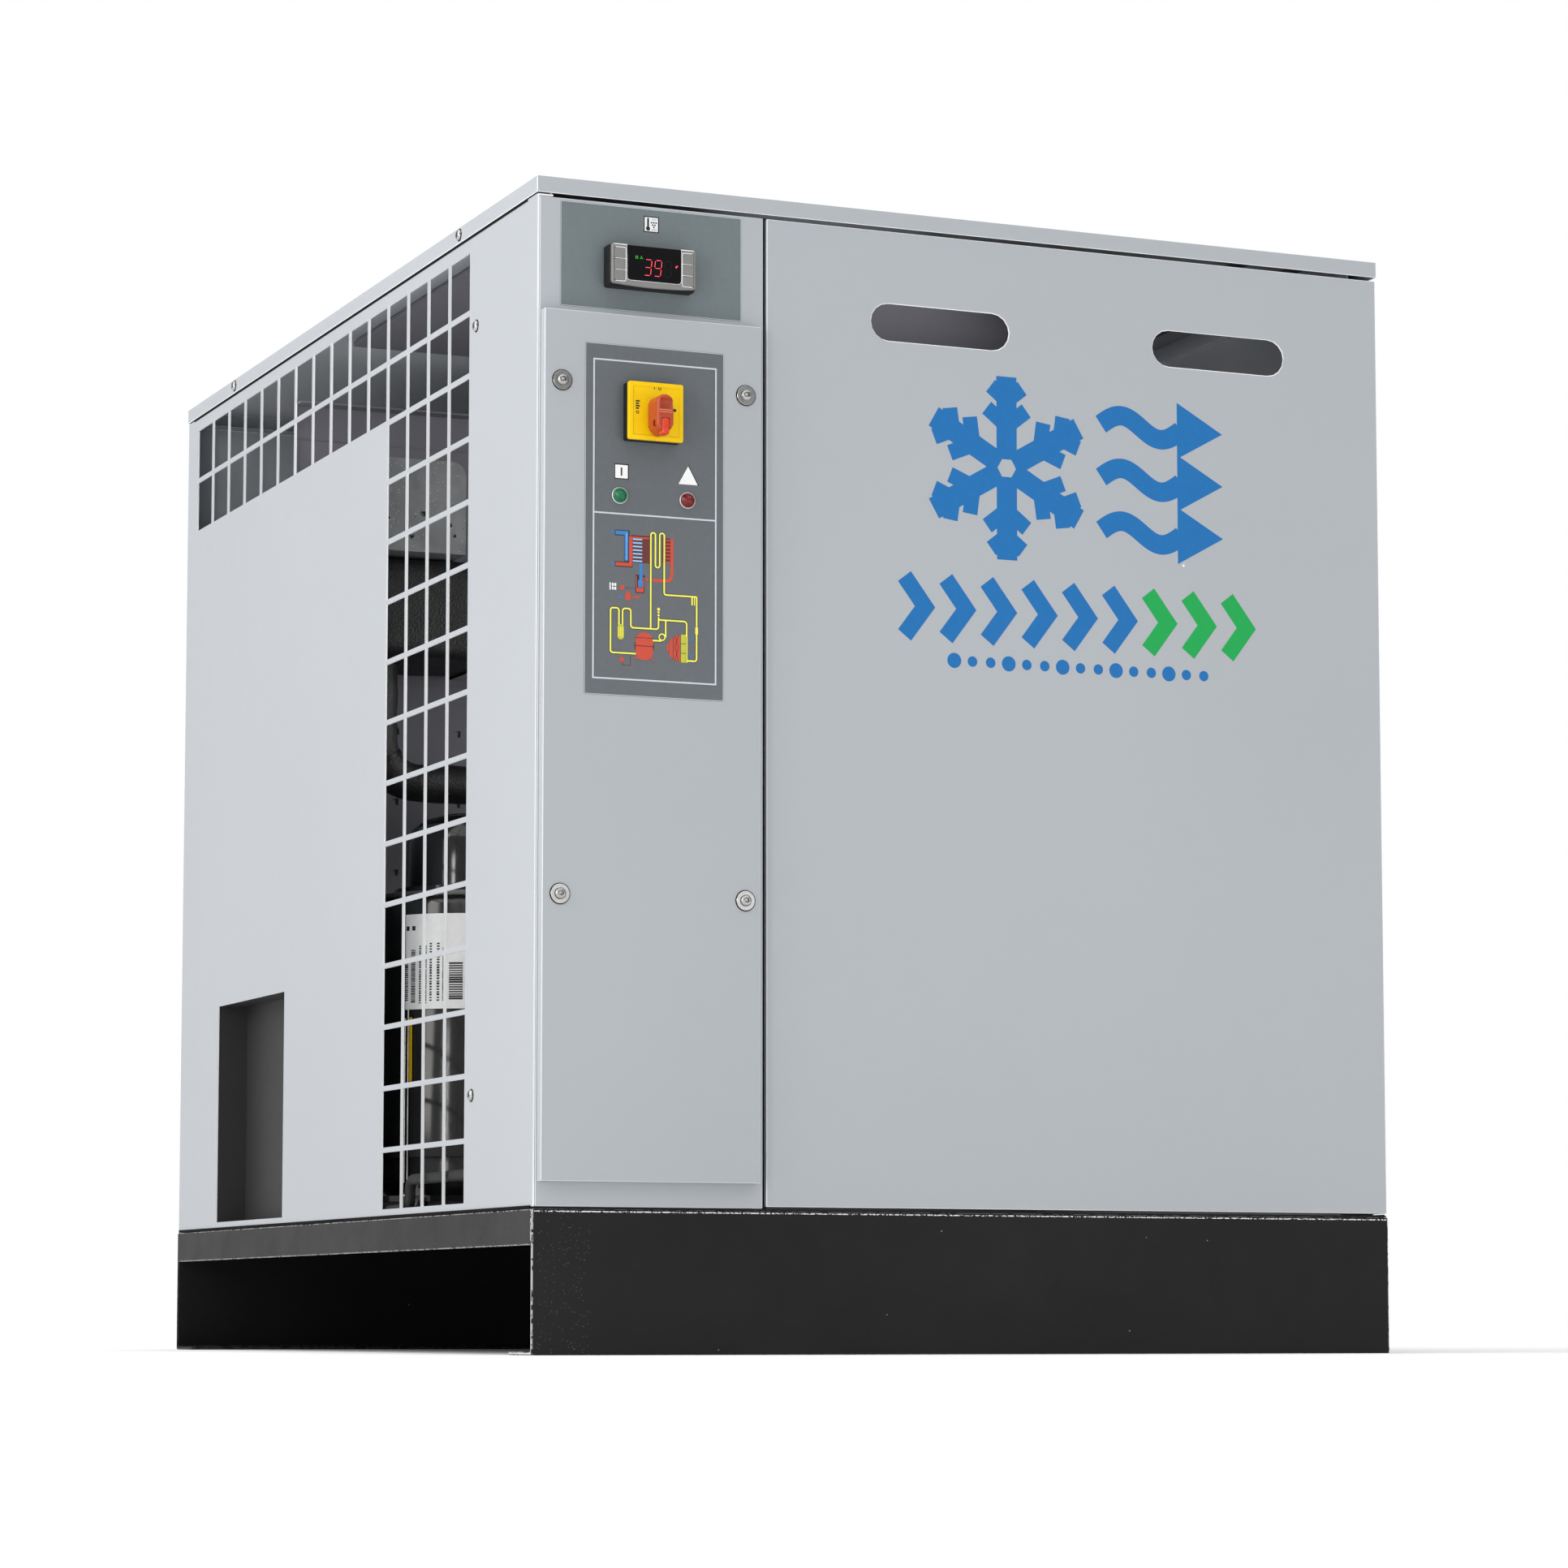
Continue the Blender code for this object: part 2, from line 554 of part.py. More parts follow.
def make_switch():
    half = SWITCH_SIDE / 2
    back = COVER_FRONT - GAP
    face = back - 0.013
    plate = box("switch_plate", (SWITCH_X - half, face, SWITCH_Z - half),
                (SWITCH_X + half, back, SWITCH_Z + half), YELLOW_PLASTIC)
    centre = (SWITCH_X, face, SWITCH_Z)
    cut_bores(plate, 1, [centre], 0.0045, 0.05, "switch_plate_bore", 12)

    knob_back = face - GAP
    knob_front = -REACH + 0.0015
    outline = [(SWITCH_X + z, SWITCH_Z + x)
               for x, z in obround((-KNOB_DROP, 0.0), KNOB_LENGTH, KNOB_WIDTH)]
    knob = prism("switch_knob", outline, 1, knob_back, knob_front, ORANGE_PLASTIC)
    bore_depth = 0.012
    cut_bores(knob, 1, [(SWITCH_X, knob_back, SWITCH_Z)], 0.0033, 2 * bore_depth,
              "switch_knob_bore", 12)
    low, high = [SWITCH_Z + height for height in TAB_HEIGHTS]
    half_tab = TAB_WIDTH / 2
    floor = knob_front + 0.0085
    cut_boxes(knob, [((SWITCH_X - half_tab - GAP, knob_front - 0.01, low - 0.01),
                      (SWITCH_X + half_tab + GAP, floor, high + GAP))], "switch_knob_slot")
    box("lock_tab", (SWITCH_X - half_tab, -REACH, low),
        (SWITCH_X + half_tab, floor - GAP, high), RED_PLASTIC)

    inner = COVER_FRONT + SHEET + GAP
    body = box("switch_body", (SWITCH_X - 0.023, inner, SWITCH_Z - 0.023),
               (SWITCH_X + 0.023, inner + 0.042, SWITCH_Z + 0.023), BLACK_PLASTIC)
    shaft = bmesh.new()
    shaft_end = knob_back - bore_depth + GAP
    add_turned(shaft, [(0.0, shaft_end - face), (0.0030, shaft_end - face),
                       (0.0030, inner + 0.005 - face), (0.0, inner + 0.005 - face)],
               1, centre, 12)
    join_or_cut(body, "UNION", shaft, "switch_shaft")


def make_lamps():
    profile = [(0.0, 0.020), (0.0055, 0.020), (0.0055, -GAP), (0.0070, -GAP),
               (0.0070, -0.0030), (0.0055, -0.0048), (0.0030, -0.0058), (0.0, -0.0061)]
    for name, x, paint in (("green_lamp", LAMP_SIDES[0], GREEN_LENS),
                           ("red_lamp", LAMP_SIDES[1], RED_LENS)):
        turned(name, profile, 1, (x, COVER_FRONT, LAMP_Z), 16, paint)


# ---------------------------------------------------------------- front
def make_front():
    right = RIGHT - 0.0007
    panel = tray("front_panel", (LEFT + FRONT_PANEL_LEFT, PANEL_FRONT, PANEL_BOTTOM + 0.0014),
                 (right, PANEL_FRONT + RETURN_DEPTH, PANEL_TOP), SHEET, 1, 1, GREY_PAINT)
    slots = bmesh.new()
    for x in SLOT_CENTRES:
        add_prism(slots, obround((x, SLOT_Z), SLOT_LENGTH, SLOT_HEIGHT), 1,
                  PANEL_FRONT - 0.01, PANEL_FRONT + 0.01)
    join_or_cut(panel, "DIFFERENCE", slots, "front_panel_slots")

    leg = 0.030
    low = PANEL_BOTTOM
    high = PANEL_TOP
    inner = LEFT + COLUMN_WIDTH + 0.001
    outer = -PANEL_LEFT - SHEET - GAP
    outline = [(outer - leg, low), (outer, low), (outer, high), (inner, high),
               (inner, high - leg), (outer - leg, high - leg)]
    start = PANEL_FRONT + RETURN_DEPTH + 0.001
    prism("front_frame", outline, 1, start, start + PLATE, DARK_SHEET)


# ---------------------------------------------------------------- refrigeration
COMPRESSOR = (-0.291, -0.068)
COMPRESSOR_RADIUS = 0.0825
COMPRESSOR_CAP = 0.058
COMPRESSOR_TOP = 0.485
FOOT_Z = 0.1365


def make_compressor():
    shell, cap = COMPRESSOR_RADIUS, COMPRESSOR_CAP
    profile = [(0.0, FOOT_Z), (shell - 0.012, FOOT_Z), (shell, FOOT_Z + 0.014),
               (shell, 0.398), (shell - 0.006, 0.407), (cap + 0.010, 0.409),
               (cap + 0.010, 0.416), (cap, 0.418), (cap, 0.458), (cap - 0.005, 0.471),
               (cap - 0.017, 0.480), (cap - 0.035, COMPRESSOR_TOP), (0.0, COMPRESSOR_TOP)]
    body = turned("compressor", profile, 2, (*COMPRESSOR, 0.0), 28, ENAMEL)
    x, y = COMPRESSOR
    half = 0.096
    corner = 0.028
    lug = [(x - half, y - half + corner), (x - half + corner, y - half),
           (x + half - corner, y - half), (x + half, y - half + corner),
           (x + half, y + half - corner), (x + half - corner, y + half),
           (x - half + corner, y + half), (x - half, y + half - corner)]
    feet = bmesh.new()
    add_prism(feet, lug, 2, FOOT_Z - 0.004, FOOT_Z + 0.001)
    join_or_cut(body, "UNION", feet, "compressor_foot_plate")
    reach = half - 0.020
    low = PAN_TOP + GAP
    high = FOOT_Z - 0.002
    legs = bmesh.new()
    for side in (-1, 1):
        for end in (-1, 1):
            add_turned(legs, [(0.0, low), (0.012, low), (0.012, high), (0.0, high)], 2,
                       (x + side * reach, y + end * reach, 0.0), 12)
    join_or_cut(body, "UNION", legs, "compressor_legs")
    box("terminal_box", (x + 0.020, y - COMPRESSOR_RADIUS - 0.034, 0.300),
        (x + 0.078, y - COMPRESSOR_RADIUS, 0.372), BLACK_PLASTIC)


def make_condenser():
    half = CONDENSER_SIZE / 2
    box("condenser", (CONDENSER_BACK, FAN_Y - half, FAN_Z - half),
        (CONDENSER_BACK + 0.044, FAN_Y + half, FAN_Z + half), STEEL)
    plate_x = CONDENSER_BACK - GAP
    shroud = box("fan_shroud", (plate_x - 0.002, FAN_Y - half, FAN_Z - half),
                 (plate_x, FAN_Y + half, FAN_Z + half), BLACK_PAINT)
    throat = FAN_RADIUS + 0.008
    wall = 0.0025
    cut_bores(shroud, 0, [(plate_x, FAN_Y, FAN_Z)], throat + wall / 2, 0.1,
              "fan_shroud_throat", 32)
    collar = bmesh.new()
    add_turned(collar, [(throat, -0.036), (throat + wall, -0.036), (throat + wall, -0.001),
                        (throat, -0.001)], 0, (plate_x, FAN_Y, FAN_Z), 32)
    join_or_cut(shroud, "UNION", collar, "fan_shroud_collar")
    bridge_x = plate_x - 0.070
    leg = throat + 0.020
    add_boxes(shroud, [((bridge_x, FAN_Y - leg - 0.004, FAN_Z - 0.025),
                        (bridge_x + 0.004, FAN_Y + leg + 0.004, FAN_Z + 0.025))],
              "fan_shroud_bridge")
    for side in (-1, 1):
        ends = sorted((FAN_Y + side * leg, FAN_Y + side * (leg + 0.003)))
        add_boxes(shroud, [((bridge_x + 0.001, ends[0], FAN_Z - 0.022),
                            (plate_x - 0.001, ends[1], FAN_Z + 0.022))],
                  "fan_shroud_leg_%s" % ("front" if side < 0 else "rear"))
    cut_bores(shroud, 0, [(bridge_x, FAN_Y, FAN_Z)], 0.010, 0.02, "fan_shroud_shaft_hole", 12)

    motor_face = bridge_x - GAP
    shaft = 0.004
    hub_front = plate_x - 0.034
    turned("fan_motor",
           [(0.0, -0.075), (0.038, -0.075), (0.043, -0.070), (0.043, -0.006), (0.036, 0.0),
            (shaft, 0.0), (shaft, hub_front + 0.026 - motor_face),
            (0.0, hub_front + 0.026 - motor_face)],
           0, (motor_face, FAN_Y, FAN_Z), 20, BLACK_PLASTIC)
    make_fan(hub_front, shaft + GAP)


def make_fan(hub_front, bore):
    hub_radius, hub_length = 0.040, 0.028
    axis_point = (hub_front, FAN_Y, FAN_Z)
    fan = turned("fan_blades",
                 [(bore, 0.0), (hub_radius - 0.004, 0.0), (hub_radius, 0.004),
                  (hub_radius, hub_length), (bore, hub_length)],
                 0, axis_point, 20, BLACK_PLASTIC)
    middle = hub_front + hub_length / 2
    for number in range(5):
        blade = bmesh.new()
        turn = 2 * math.pi * number / 5
        rings = []
        for radius, half_width, pitch in ((hub_radius - 0.003, 0.020, 34.0),
                                          (0.110, 0.038, 22.0), (FAN_RADIUS, 0.046, 15.0)):
            lean = math.radians(pitch)
            ring = []
            for across, thick in ((-1, -1), (1, -1), (1, 1), (-1, 1)):
                tangent = across * half_width * math.cos(lean) - thick * 0.001 * math.sin(lean)
                forward = across * half_width * math.sin(lean) + thick * 0.001 * math.cos(lean)
                forward = max(-0.0125, min(0.0125, forward))
                angle = turn + tangent / radius
                ring.append(blade.verts.new((middle + forward,
                                             FAN_Y + radius * math.cos(angle),
                                             FAN_Z + radius * math.sin(angle))))
            rings.append(ring)
        blade.faces.new(rings[0])
        blade.faces.new(rings[-1])
        for ring, after in zip(rings, rings[1:]):
            for corner in range(4):
                near = (corner + 1) % 4
                blade.faces.new((ring[corner], ring[near], after[near], after[corner]))
        bmesh.ops.triangulate(blade, faces=blade.faces)
        join_or_cut(fan, "UNION", blade, "fan_blade_%d" % (number + 1))


EXCHANGER = ((-0.375, 0.005, 0.640), (0.225, 0.150, 0.735))
BULKHEAD_Y = 0.158
BULKHEAD_TOP = 0.900


def make_air_side():
    side = -PANEL_LEFT - SHEET - GAP
    outline = [(BULKHEAD_Y, PAN_TOP + GAP), (BULKHEAD_Y + SHEET, PAN_TOP + GAP),
               (BULKHEAD_Y + SHEET, BULKHEAD_TOP), (BULKHEAD_Y - 0.018, BULKHEAD_TOP),
               (BULKHEAD_Y - 0.018, BULKHEAD_TOP - SHEET), (BULKHEAD_Y, BULKHEAD_TOP - SHEET)]
    bulkhead = prism("bulkhead", outline, 0, -side, side, DARK_SHEET)
    cut_bores(bulkhead, 1, [(x, BULKHEAD_Y, PIPE_Z) for x in PIPE_SIDES], PIPE_RADIUS + 0.0010,
              0.02, "bulkhead_pipe_holes", 24)

    foam = box("heat_exchanger", *EXCHANGER, FOAM)
    soften = foam.modifiers.new("rounded_foam", "BEVEL")
    soften.width = 0.014
    soften.segments = 2
    top = EXCHANGER[1][2] + GAP
    outline = [(-0.010, top), (0.100, top), (0.100, top + 0.002), (-0.008, top + 0.002),
               (-0.008, 0.822), (-0.010, 0.822)]
    prism("exchanger_bracket", outline, 0, -0.385, -0.277, GALVANISED)

    start = EXCHANGER[1][1] + GAP
    for name, x in zip(("air_inlet_pipe", "air_outlet_pipe"), PIPE_SIDES):
        turned(name, [(PIPE_BORE, start), (PIPE_RADIUS, start), (PIPE_RADIUS, 0.530),
                      (0.0365, 0.534), (0.0365, REACH), (PIPE_BORE, REACH)],
               1, (x, 0.0, PIPE_Z), 24, GALVANISED)

    turned("moisture_separator",
           [(0.0, 0.340), (0.030, 0.342), (0.056, 0.356), (0.060, 0.370), (0.060, 0.590),
            (0.056, 0.604), (0.030, 0.618), (0.0, 0.620)], 2, (0.0, 0.300, 0.0), 20, ENAMEL)
    pipe("drain_pipe", [(0.0, 0.300, 0.3397), (0.0, 0.300, DRAIN_Z), (0.0, 0.4797, DRAIN_Z)],
         0.030, 0.006, BLACK_PLASTIC)
    valve = turned("drain_valve",
                   [(0.0, 0.480), (0.011, 0.480), (0.011, 0.530), (0.016, 0.533),
                    (0.016, 0.555), (0.0105, 0.558), (0.0105, REACH), (0.007, REACH),
                    (0.007, REACH - 0.012), (0.0, REACH - 0.012)],
                   1, (0.0, 0.0, DRAIN_Z), 16, BRASS)
    stem = bmesh.new()
    add_turned(stem, [(0.0, 0.010), (0.004, 0.010), (0.004, 0.0245), (0.0, 0.0245)], 2,
               (0.0, DRAIN_STEM_Y, DRAIN_Z), 12)
    join_or_cut(valve, "UNION", stem, "drain_valve_stem")
    lever_low = DRAIN_Z + 0.0183
    lever = box("drain_lever", (-0.010, DRAIN_STEM_Y - 0.007, lever_low),
                (0.075, DRAIN_STEM_Y + 0.007, lever_low + 0.0032), RED_PLASTIC)
    cut_bores(lever, 2, [(0.0, DRAIN_STEM_Y, lever_low)], 0.0044, 0.02, "drain_lever_eye", 12)
    turned("cable_gland",
           [(0.006, 0.505), (0.011, 0.505), (0.011, 0.5243), (0.014, 0.5243), (0.014, 0.536),
            (0.012, 0.540), (0.012, 0.548), (0.009, 0.552), (0.006, 0.552)],
           1, (GLAND_X, 0.0, GLAND_Z), 12, BLACK_PLASTIC)


def make_pipework():
    x, y = COMPRESSOR
    suction_x = -0.130
    pipe("suction_pipe",
         [(-0.335, 0.070, EXCHANGER[0][2] - GAP), (-0.335, 0.070, 0.530),
          (suction_x, 0.070, 0.530), (suction_x, y, 0.530), (suction_x, y, 0.220),
          (x + COMPRESSOR_RADIUS + 0.001, y, 0.220)], 0.040, 0.018, FOAM)
    pipe("discharge_pipe",
         [(x + COMPRESSOR_CAP + 0.001, y, 0.440), (-0.168, y, 0.440), (-0.168, 0.125, 0.440),
          (0.3625, 0.125, 0.440), (0.3625, 0.125, 0.660), (0.3625, 0.1003, 0.660)],
         0.020, 0.008, COPPER)
    receiver = (-0.020, 0.020)
    turned("liquid_receiver",
           [(0.0, PAN_TOP + GAP), (0.040, PAN_TOP + GAP), (0.055, 0.130), (0.055, 0.310),
            (0.045, 0.324), (0.025, 0.332), (0.0, 0.334)], 2, (*receiver, 0.0), 20, ENAMEL)
    pipe("liquid_pipe",
         [(0.3625, 0.1003, 0.250), (0.3625, 0.128, 0.250), (receiver[0], 0.128, 0.250),
          (receiver[0], receiver[1] + 0.056, 0.250)], 0.020, 0.006, COPPER)
    turned("filter_dryer",
           [(0.0, 0.497), (0.010, 0.497), (0.012, 0.505), (0.030, 0.513), (0.032, 0.517),
            (0.032, 0.585), (0.030, 0.589), (0.012, 0.597), (0.010, 0.605), (0.0, 0.605)],
           2, (-0.232, -0.150, 0.0), 20, ENAMEL)


make_base()
make_sides()
make_rear_panel()
make_lid()
make_side_screws()
make_column()
make_cover()
make_controller()
make_switch()
make_lamps()
make_front()
make_compressor()
make_condenser()
make_air_side()
make_pipework()
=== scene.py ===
"""Looks of the refrigerated air dryer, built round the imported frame.

Metres, +Z up, the front faces -Y.  Printed graphics and small front parts are laid
out in millimetres from the cabinet's left edge and from the floor.
"""
import json
import math
import random

import bmesh
import bpy
from mathutils import Matrix, Vector, noise


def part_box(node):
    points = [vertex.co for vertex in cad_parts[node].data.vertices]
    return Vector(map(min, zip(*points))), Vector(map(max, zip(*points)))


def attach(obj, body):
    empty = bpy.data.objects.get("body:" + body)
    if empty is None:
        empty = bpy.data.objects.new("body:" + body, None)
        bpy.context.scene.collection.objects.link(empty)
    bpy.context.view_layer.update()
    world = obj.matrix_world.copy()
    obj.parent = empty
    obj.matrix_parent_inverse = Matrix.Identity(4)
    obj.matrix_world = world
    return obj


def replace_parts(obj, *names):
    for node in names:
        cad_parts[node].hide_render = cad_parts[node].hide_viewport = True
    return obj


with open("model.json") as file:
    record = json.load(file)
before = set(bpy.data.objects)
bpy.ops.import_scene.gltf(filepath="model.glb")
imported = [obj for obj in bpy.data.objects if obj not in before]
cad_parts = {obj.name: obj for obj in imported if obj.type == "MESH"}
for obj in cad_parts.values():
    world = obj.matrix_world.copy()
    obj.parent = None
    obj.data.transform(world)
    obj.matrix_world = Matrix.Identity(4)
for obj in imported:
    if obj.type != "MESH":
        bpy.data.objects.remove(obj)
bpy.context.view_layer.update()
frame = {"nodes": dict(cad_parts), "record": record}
nodes = frame["nodes"]

MM = 0.001
LID_LOW, LID_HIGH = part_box("lid")
LEFT = LID_LOW.x
COLUMN_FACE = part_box("control_column")[0].y
COVER_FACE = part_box("control_cover")[0].y
PANEL_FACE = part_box("front_panel")[0].y
SIDE_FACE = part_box("left_side_panel")[0].x
RIGHT_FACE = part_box("right_side_panel")[1].x
REAR_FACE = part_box("rear_panel")[1].y
LABEL_THICK = 0.25 * MM
SLOTS_ACROSS, SLOTS_UP = (-0.12, 0.32), (0.84, 0.90)    # where the hand slots lie
UP, FRONT, REAR = (0, 0, 1), (0, -1, 0), (0, 1, 0)
FLOOR_REACH = 30.0
WELD_DISTANCE = 0.01 * MM
LAYER, LAYERS = 0.008 * MM, 8        # steps between printed shapes, and how many differ
CAMERA_PLACE, CAMERA_TILT, CAMERA_TURN = (-1.6425, -3.9677, 0.0232), 5.62, -23.08
WORLD_LIGHT, WORLD_SEEN = 0.42, 1.0  # strength as a light, and as the background
random.seed(7)


def grey(value):
    return (value, value, value)


def polar(angle, reach=1.0):
    """Across and up of a place at this angle and distance from the middle."""
    return reach * math.cos(angle), reach * math.sin(angle)


def around(steps, reach=1.0, turned=0.0):
    """Evenly spaced places round a circle."""
    return [polar(2 * math.pi * (step + turned) / steps, reach) for step in range(steps)]


# ------------------------------------------------------------------ stage
def add_object(name, data):
    """Put a new object that holds this data into the scene."""
    thing = bpy.data.objects.new(name, data)
    bpy.context.scene.collection.objects.link(thing)
    return thing


def make_stage():
    scene = bpy.context.scene
    scene.view_settings.view_transform = "Standard"
    camera = add_object("camera", bpy.data.cameras.new("camera"))
    camera.data.lens = 104.58
    camera.data.sensor_width = 36.0
    camera.data.shift_y = 0.06
    camera.data.clip_end = 60.0
    camera.location = CAMERA_PLACE
    camera.rotation_euler = (math.radians(90 + CAMERA_TILT), 0.0, math.radians(CAMERA_TURN))
    scene.camera = camera

    world = bpy.data.worlds.new("studio")
    scene.world = world
    world.use_nodes = True
    tree = world.node_tree
    back = tree.nodes["Background"]
    back.inputs["Color"].default_value = (1.0, 1.0, 1.0, 1.0)
    seen = tree.nodes.new("ShaderNodeLightPath").outputs["Is Camera Ray"]
    strength = tree.nodes.new("ShaderNodeMapRange")
    strength.inputs["To Min"].default_value = WORLD_LIGHT
    strength.inputs["To Max"].default_value = WORLD_SEEN
    tree.links.new(seen, strength.inputs["Value"])
    tree.links.new(strength.outputs["Result"], back.inputs["Strength"])
    make_floor()


def make_floor():
    floor = bpy.data.meshes.new("floor")
    reach = FLOOR_REACH
    corners = [(-reach, -reach, 0), (reach, -reach, 0), (reach, reach, 0), (-reach, reach, 0)]
    floor.from_pydata(corners, [], [(0, 1, 2, 3)])
    floor.materials.append(Paint("floor_white", grey(0.88), 0.9, specular=0.0).material)
    add_object("floor", floor)


def aim_light(thing, way):
    thing.rotation_euler = Vector(way).to_track_quat("-Z", "Y").to_euler()


def sun_light(name, towards, strength, spread):
    lamp = bpy.data.lights.new(name, "SUN")
    lamp.energy = strength
    lamp.angle = math.radians(spread)
    aim_light(add_object(name, lamp), towards)


def area_light(name, place, aim, size, power, colour=(1.0, 1.0, 1.0)):
    lamp = bpy.data.lights.new(name, "AREA")
    lamp.shape = "RECTANGLE"
    lamp.size, lamp.size_y = size
    lamp.energy = power
    lamp.color = colour
    thing = add_object(name, lamp)
    thing.location = place
    aim_light(thing, Vector(aim) - Vector(place))
    thing.visible_camera = False


# ------------------------------------------------------------------ materials
class Paint:
    """A node material, built step by step round one Principled shader."""

    def __init__(self, name, colour, roughness, metallic=0.0, specular=0.5):
        self.material = bpy.data.materials.new(name)
        self.material.use_nodes = True
        self.tree = self.material.node_tree
        self.shader = self.tree.nodes["Principled BSDF"]
        self.colour = colour
        self.set("Base Color", (*colour, 1.0))
        self.set("Roughness", roughness)
        self.set("Metallic", metallic)
        self.set("Specular IOR Level", specular)
        self.place = self.add("TexCoord", "Object")
        self.last_bump = None
        self.last_colour = None

    def feed(self, socket, value):
        """Give a socket a value, or a link where the value is another node's output."""
        if isinstance(value, bpy.types.NodeSocket):
            self.tree.links.new(value, socket)
        else:
            socket.default_value = value

    def set(self, socket, value):
        self.feed(self.shader.inputs[socket], value)

    def add(self, kind, output, inputs=(), **settings):
        """Add a node and hand back one of its outputs."""
        node = self.tree.nodes.new("ShaderNode" + kind)
        for name, value in settings.items():
            setattr(node, name, value)
        for name, value in dict(inputs).items():
            self.feed(node.inputs[name], value)
        return node.outputs[output]

    def colour_from(self, source):
        self.last_colour = source
        self.set("Base Color", source)

    def noise(self, scale, detail=3.0, rough=0.5, stretch=None):
        source = self.place
        if stretch is not None:
            source = self.add("Mapping", "Vector", {"Scale": stretch, "Vector": source})
        return self.add("TexNoise", "Fac", {"Scale": scale, "Detail": detail,
                                            "Roughness": rough, "Vector": source})

    def cells(self, scale, output="Distance"):
        return self.add("TexVoronoi", output, {"Scale": scale, "Vector": self.place})

    def math(self, operation, first, second=0.0):
        return self.add("Math", "Value", {0: first, 1: second}, operation=operation)

    def axis_of(self, source, axis):
        """One of the three parts of a vector."""
        return self.add("SeparateXYZ", axis, {"Vector": source})

    def facing(self, axis, least=0.9):
        """1 where the surface faces along an axis, either way."""
        part = self.axis_of(self.add("TexCoord", "Normal"), axis)
        return self.math("GREATER_THAN", self.math("ABSOLUTE", part), least)

    def between(self, axis, low, high):
        """1 where the place along an axis lies between two values."""
        part = self.axis_of(self.place, axis)
        return self.math("MULTIPLY", self.math("GREATER_THAN", part, low),
                         self.math("LESS_THAN", part, high))

    def ramp(self, source, stops):
        """Colours along a two-stop ramp."""
        colour = self.add("ValToRGB", "Color", {"Fac": source})
        for element, (place, value) in zip(colour.node.color_ramp.elements, stops):
            element.position = place
            element.color = (*value, 1.0)
        return colour

    def tint(self, source, low, high):
        """Colour that runs between two multiples of the base colour."""
        self.colour_from(self.ramp(source, [(0.3, [c * low for c in self.colour]),
                                            (0.7, [min(1.0, c * high) for c in self.colour])]))

    def overlay(self, mask, colour):
        """Lay another colour over the last one where the mask is 1."""
        self.colour_from(self.add("Mix", "Result", {"Factor": mask, "A": self.last_colour,
                                                    "B": (*colour, 1.0)}, data_type="RGBA"))

    def slope_mask(self, start=0.996, end=0.95):
        """1 on the rounded edges, where the surface faces none of the main axes."""
        normal = self.add("TexCoord", "Normal")
        sizes = [self.math("ABSOLUTE", self.axis_of(normal, axis)) for axis in range(3)]
        widest = self.math("MAXIMUM", self.math("MAXIMUM", sizes[0], sizes[1]), sizes[2])
        return self.add("MapRange", "Result", {"From Min": start, "From Max": end,
                                               "Value": widest})

    def specks(self, scale, size, share):
        """1 on sparse dots: a cell shows its dot only where its random value is low."""
        near = self.math("LESS_THAN", self.cells(scale), size)
        random_value = self.add("SeparateColor", "Red", {"Color": self.cells(scale, "Color")})
        return self.math("MULTIPLY", near, self.math("LESS_THAN", random_value, share))

    def vary_roughness(self, source, low, high):
        self.set("Roughness", self.add("MapRange", "Result", {"To Min": low, "To Max": high,
                                                              "Value": source}))

    def bump(self, source, strength, distance):
        inputs = {"Strength": strength, "Distance": distance, "Height": source}
        if self.last_bump is not None:
            inputs["Normal"] = self.last_bump
        self.last_bump = self.add("Bump", "Normal", inputs)
        self.set("Normal", self.last_bump)


def powder_coat(name, colour, roughness=0.42, grain=900.0, edge=None, pale_specks=0.0, cut=None):
    """Powder paint; edge is a painted highlight colour for the rounded edges, and cut is "sides" or
    "slots" for a painted white highlight on the faces where the sheet was punched.
    """
    paint = Paint(name, colour, roughness, specular=0.4)
    paint.tint(paint.noise(3.0, 4.0), 0.985, 1.015)
    # Near-white specks scattered at random over the coat.
    if pale_specks:
        paint.overlay(paint.specks(55.0, 0.06, pale_specks), grey(0.9))
    # A painted highlight on the rounded edges, in the edge colour.
    if edge is not None:
        paint.overlay(paint.slope_mask(), edge)
    # Painted white highlight on the bars' cut faces.
    if cut == "sides":
        paint.overlay(paint.math("SUBTRACT", 1.0, paint.facing(0)), CUT_HIGHLIGHT_WHITE)
    # Painted white highlight on the cut faces in the hand slots.
    if cut == "slots":
        inside = paint.math("MULTIPLY", paint.between(0, *SLOTS_ACROSS),
                            paint.between(2, *SLOTS_UP))
        edge_on = paint.math("SUBTRACT", 1.0, paint.facing(1))
        paint.overlay(paint.math("MULTIPLY", inside, edge_on), CUT_HIGHLIGHT_WHITE)
    paint.vary_roughness(paint.noise(40.0), roughness - 0.05, roughness + 0.05)
    paint.bump(paint.noise(grain, 2.0), 0.12, 0.0004)
    return paint.material


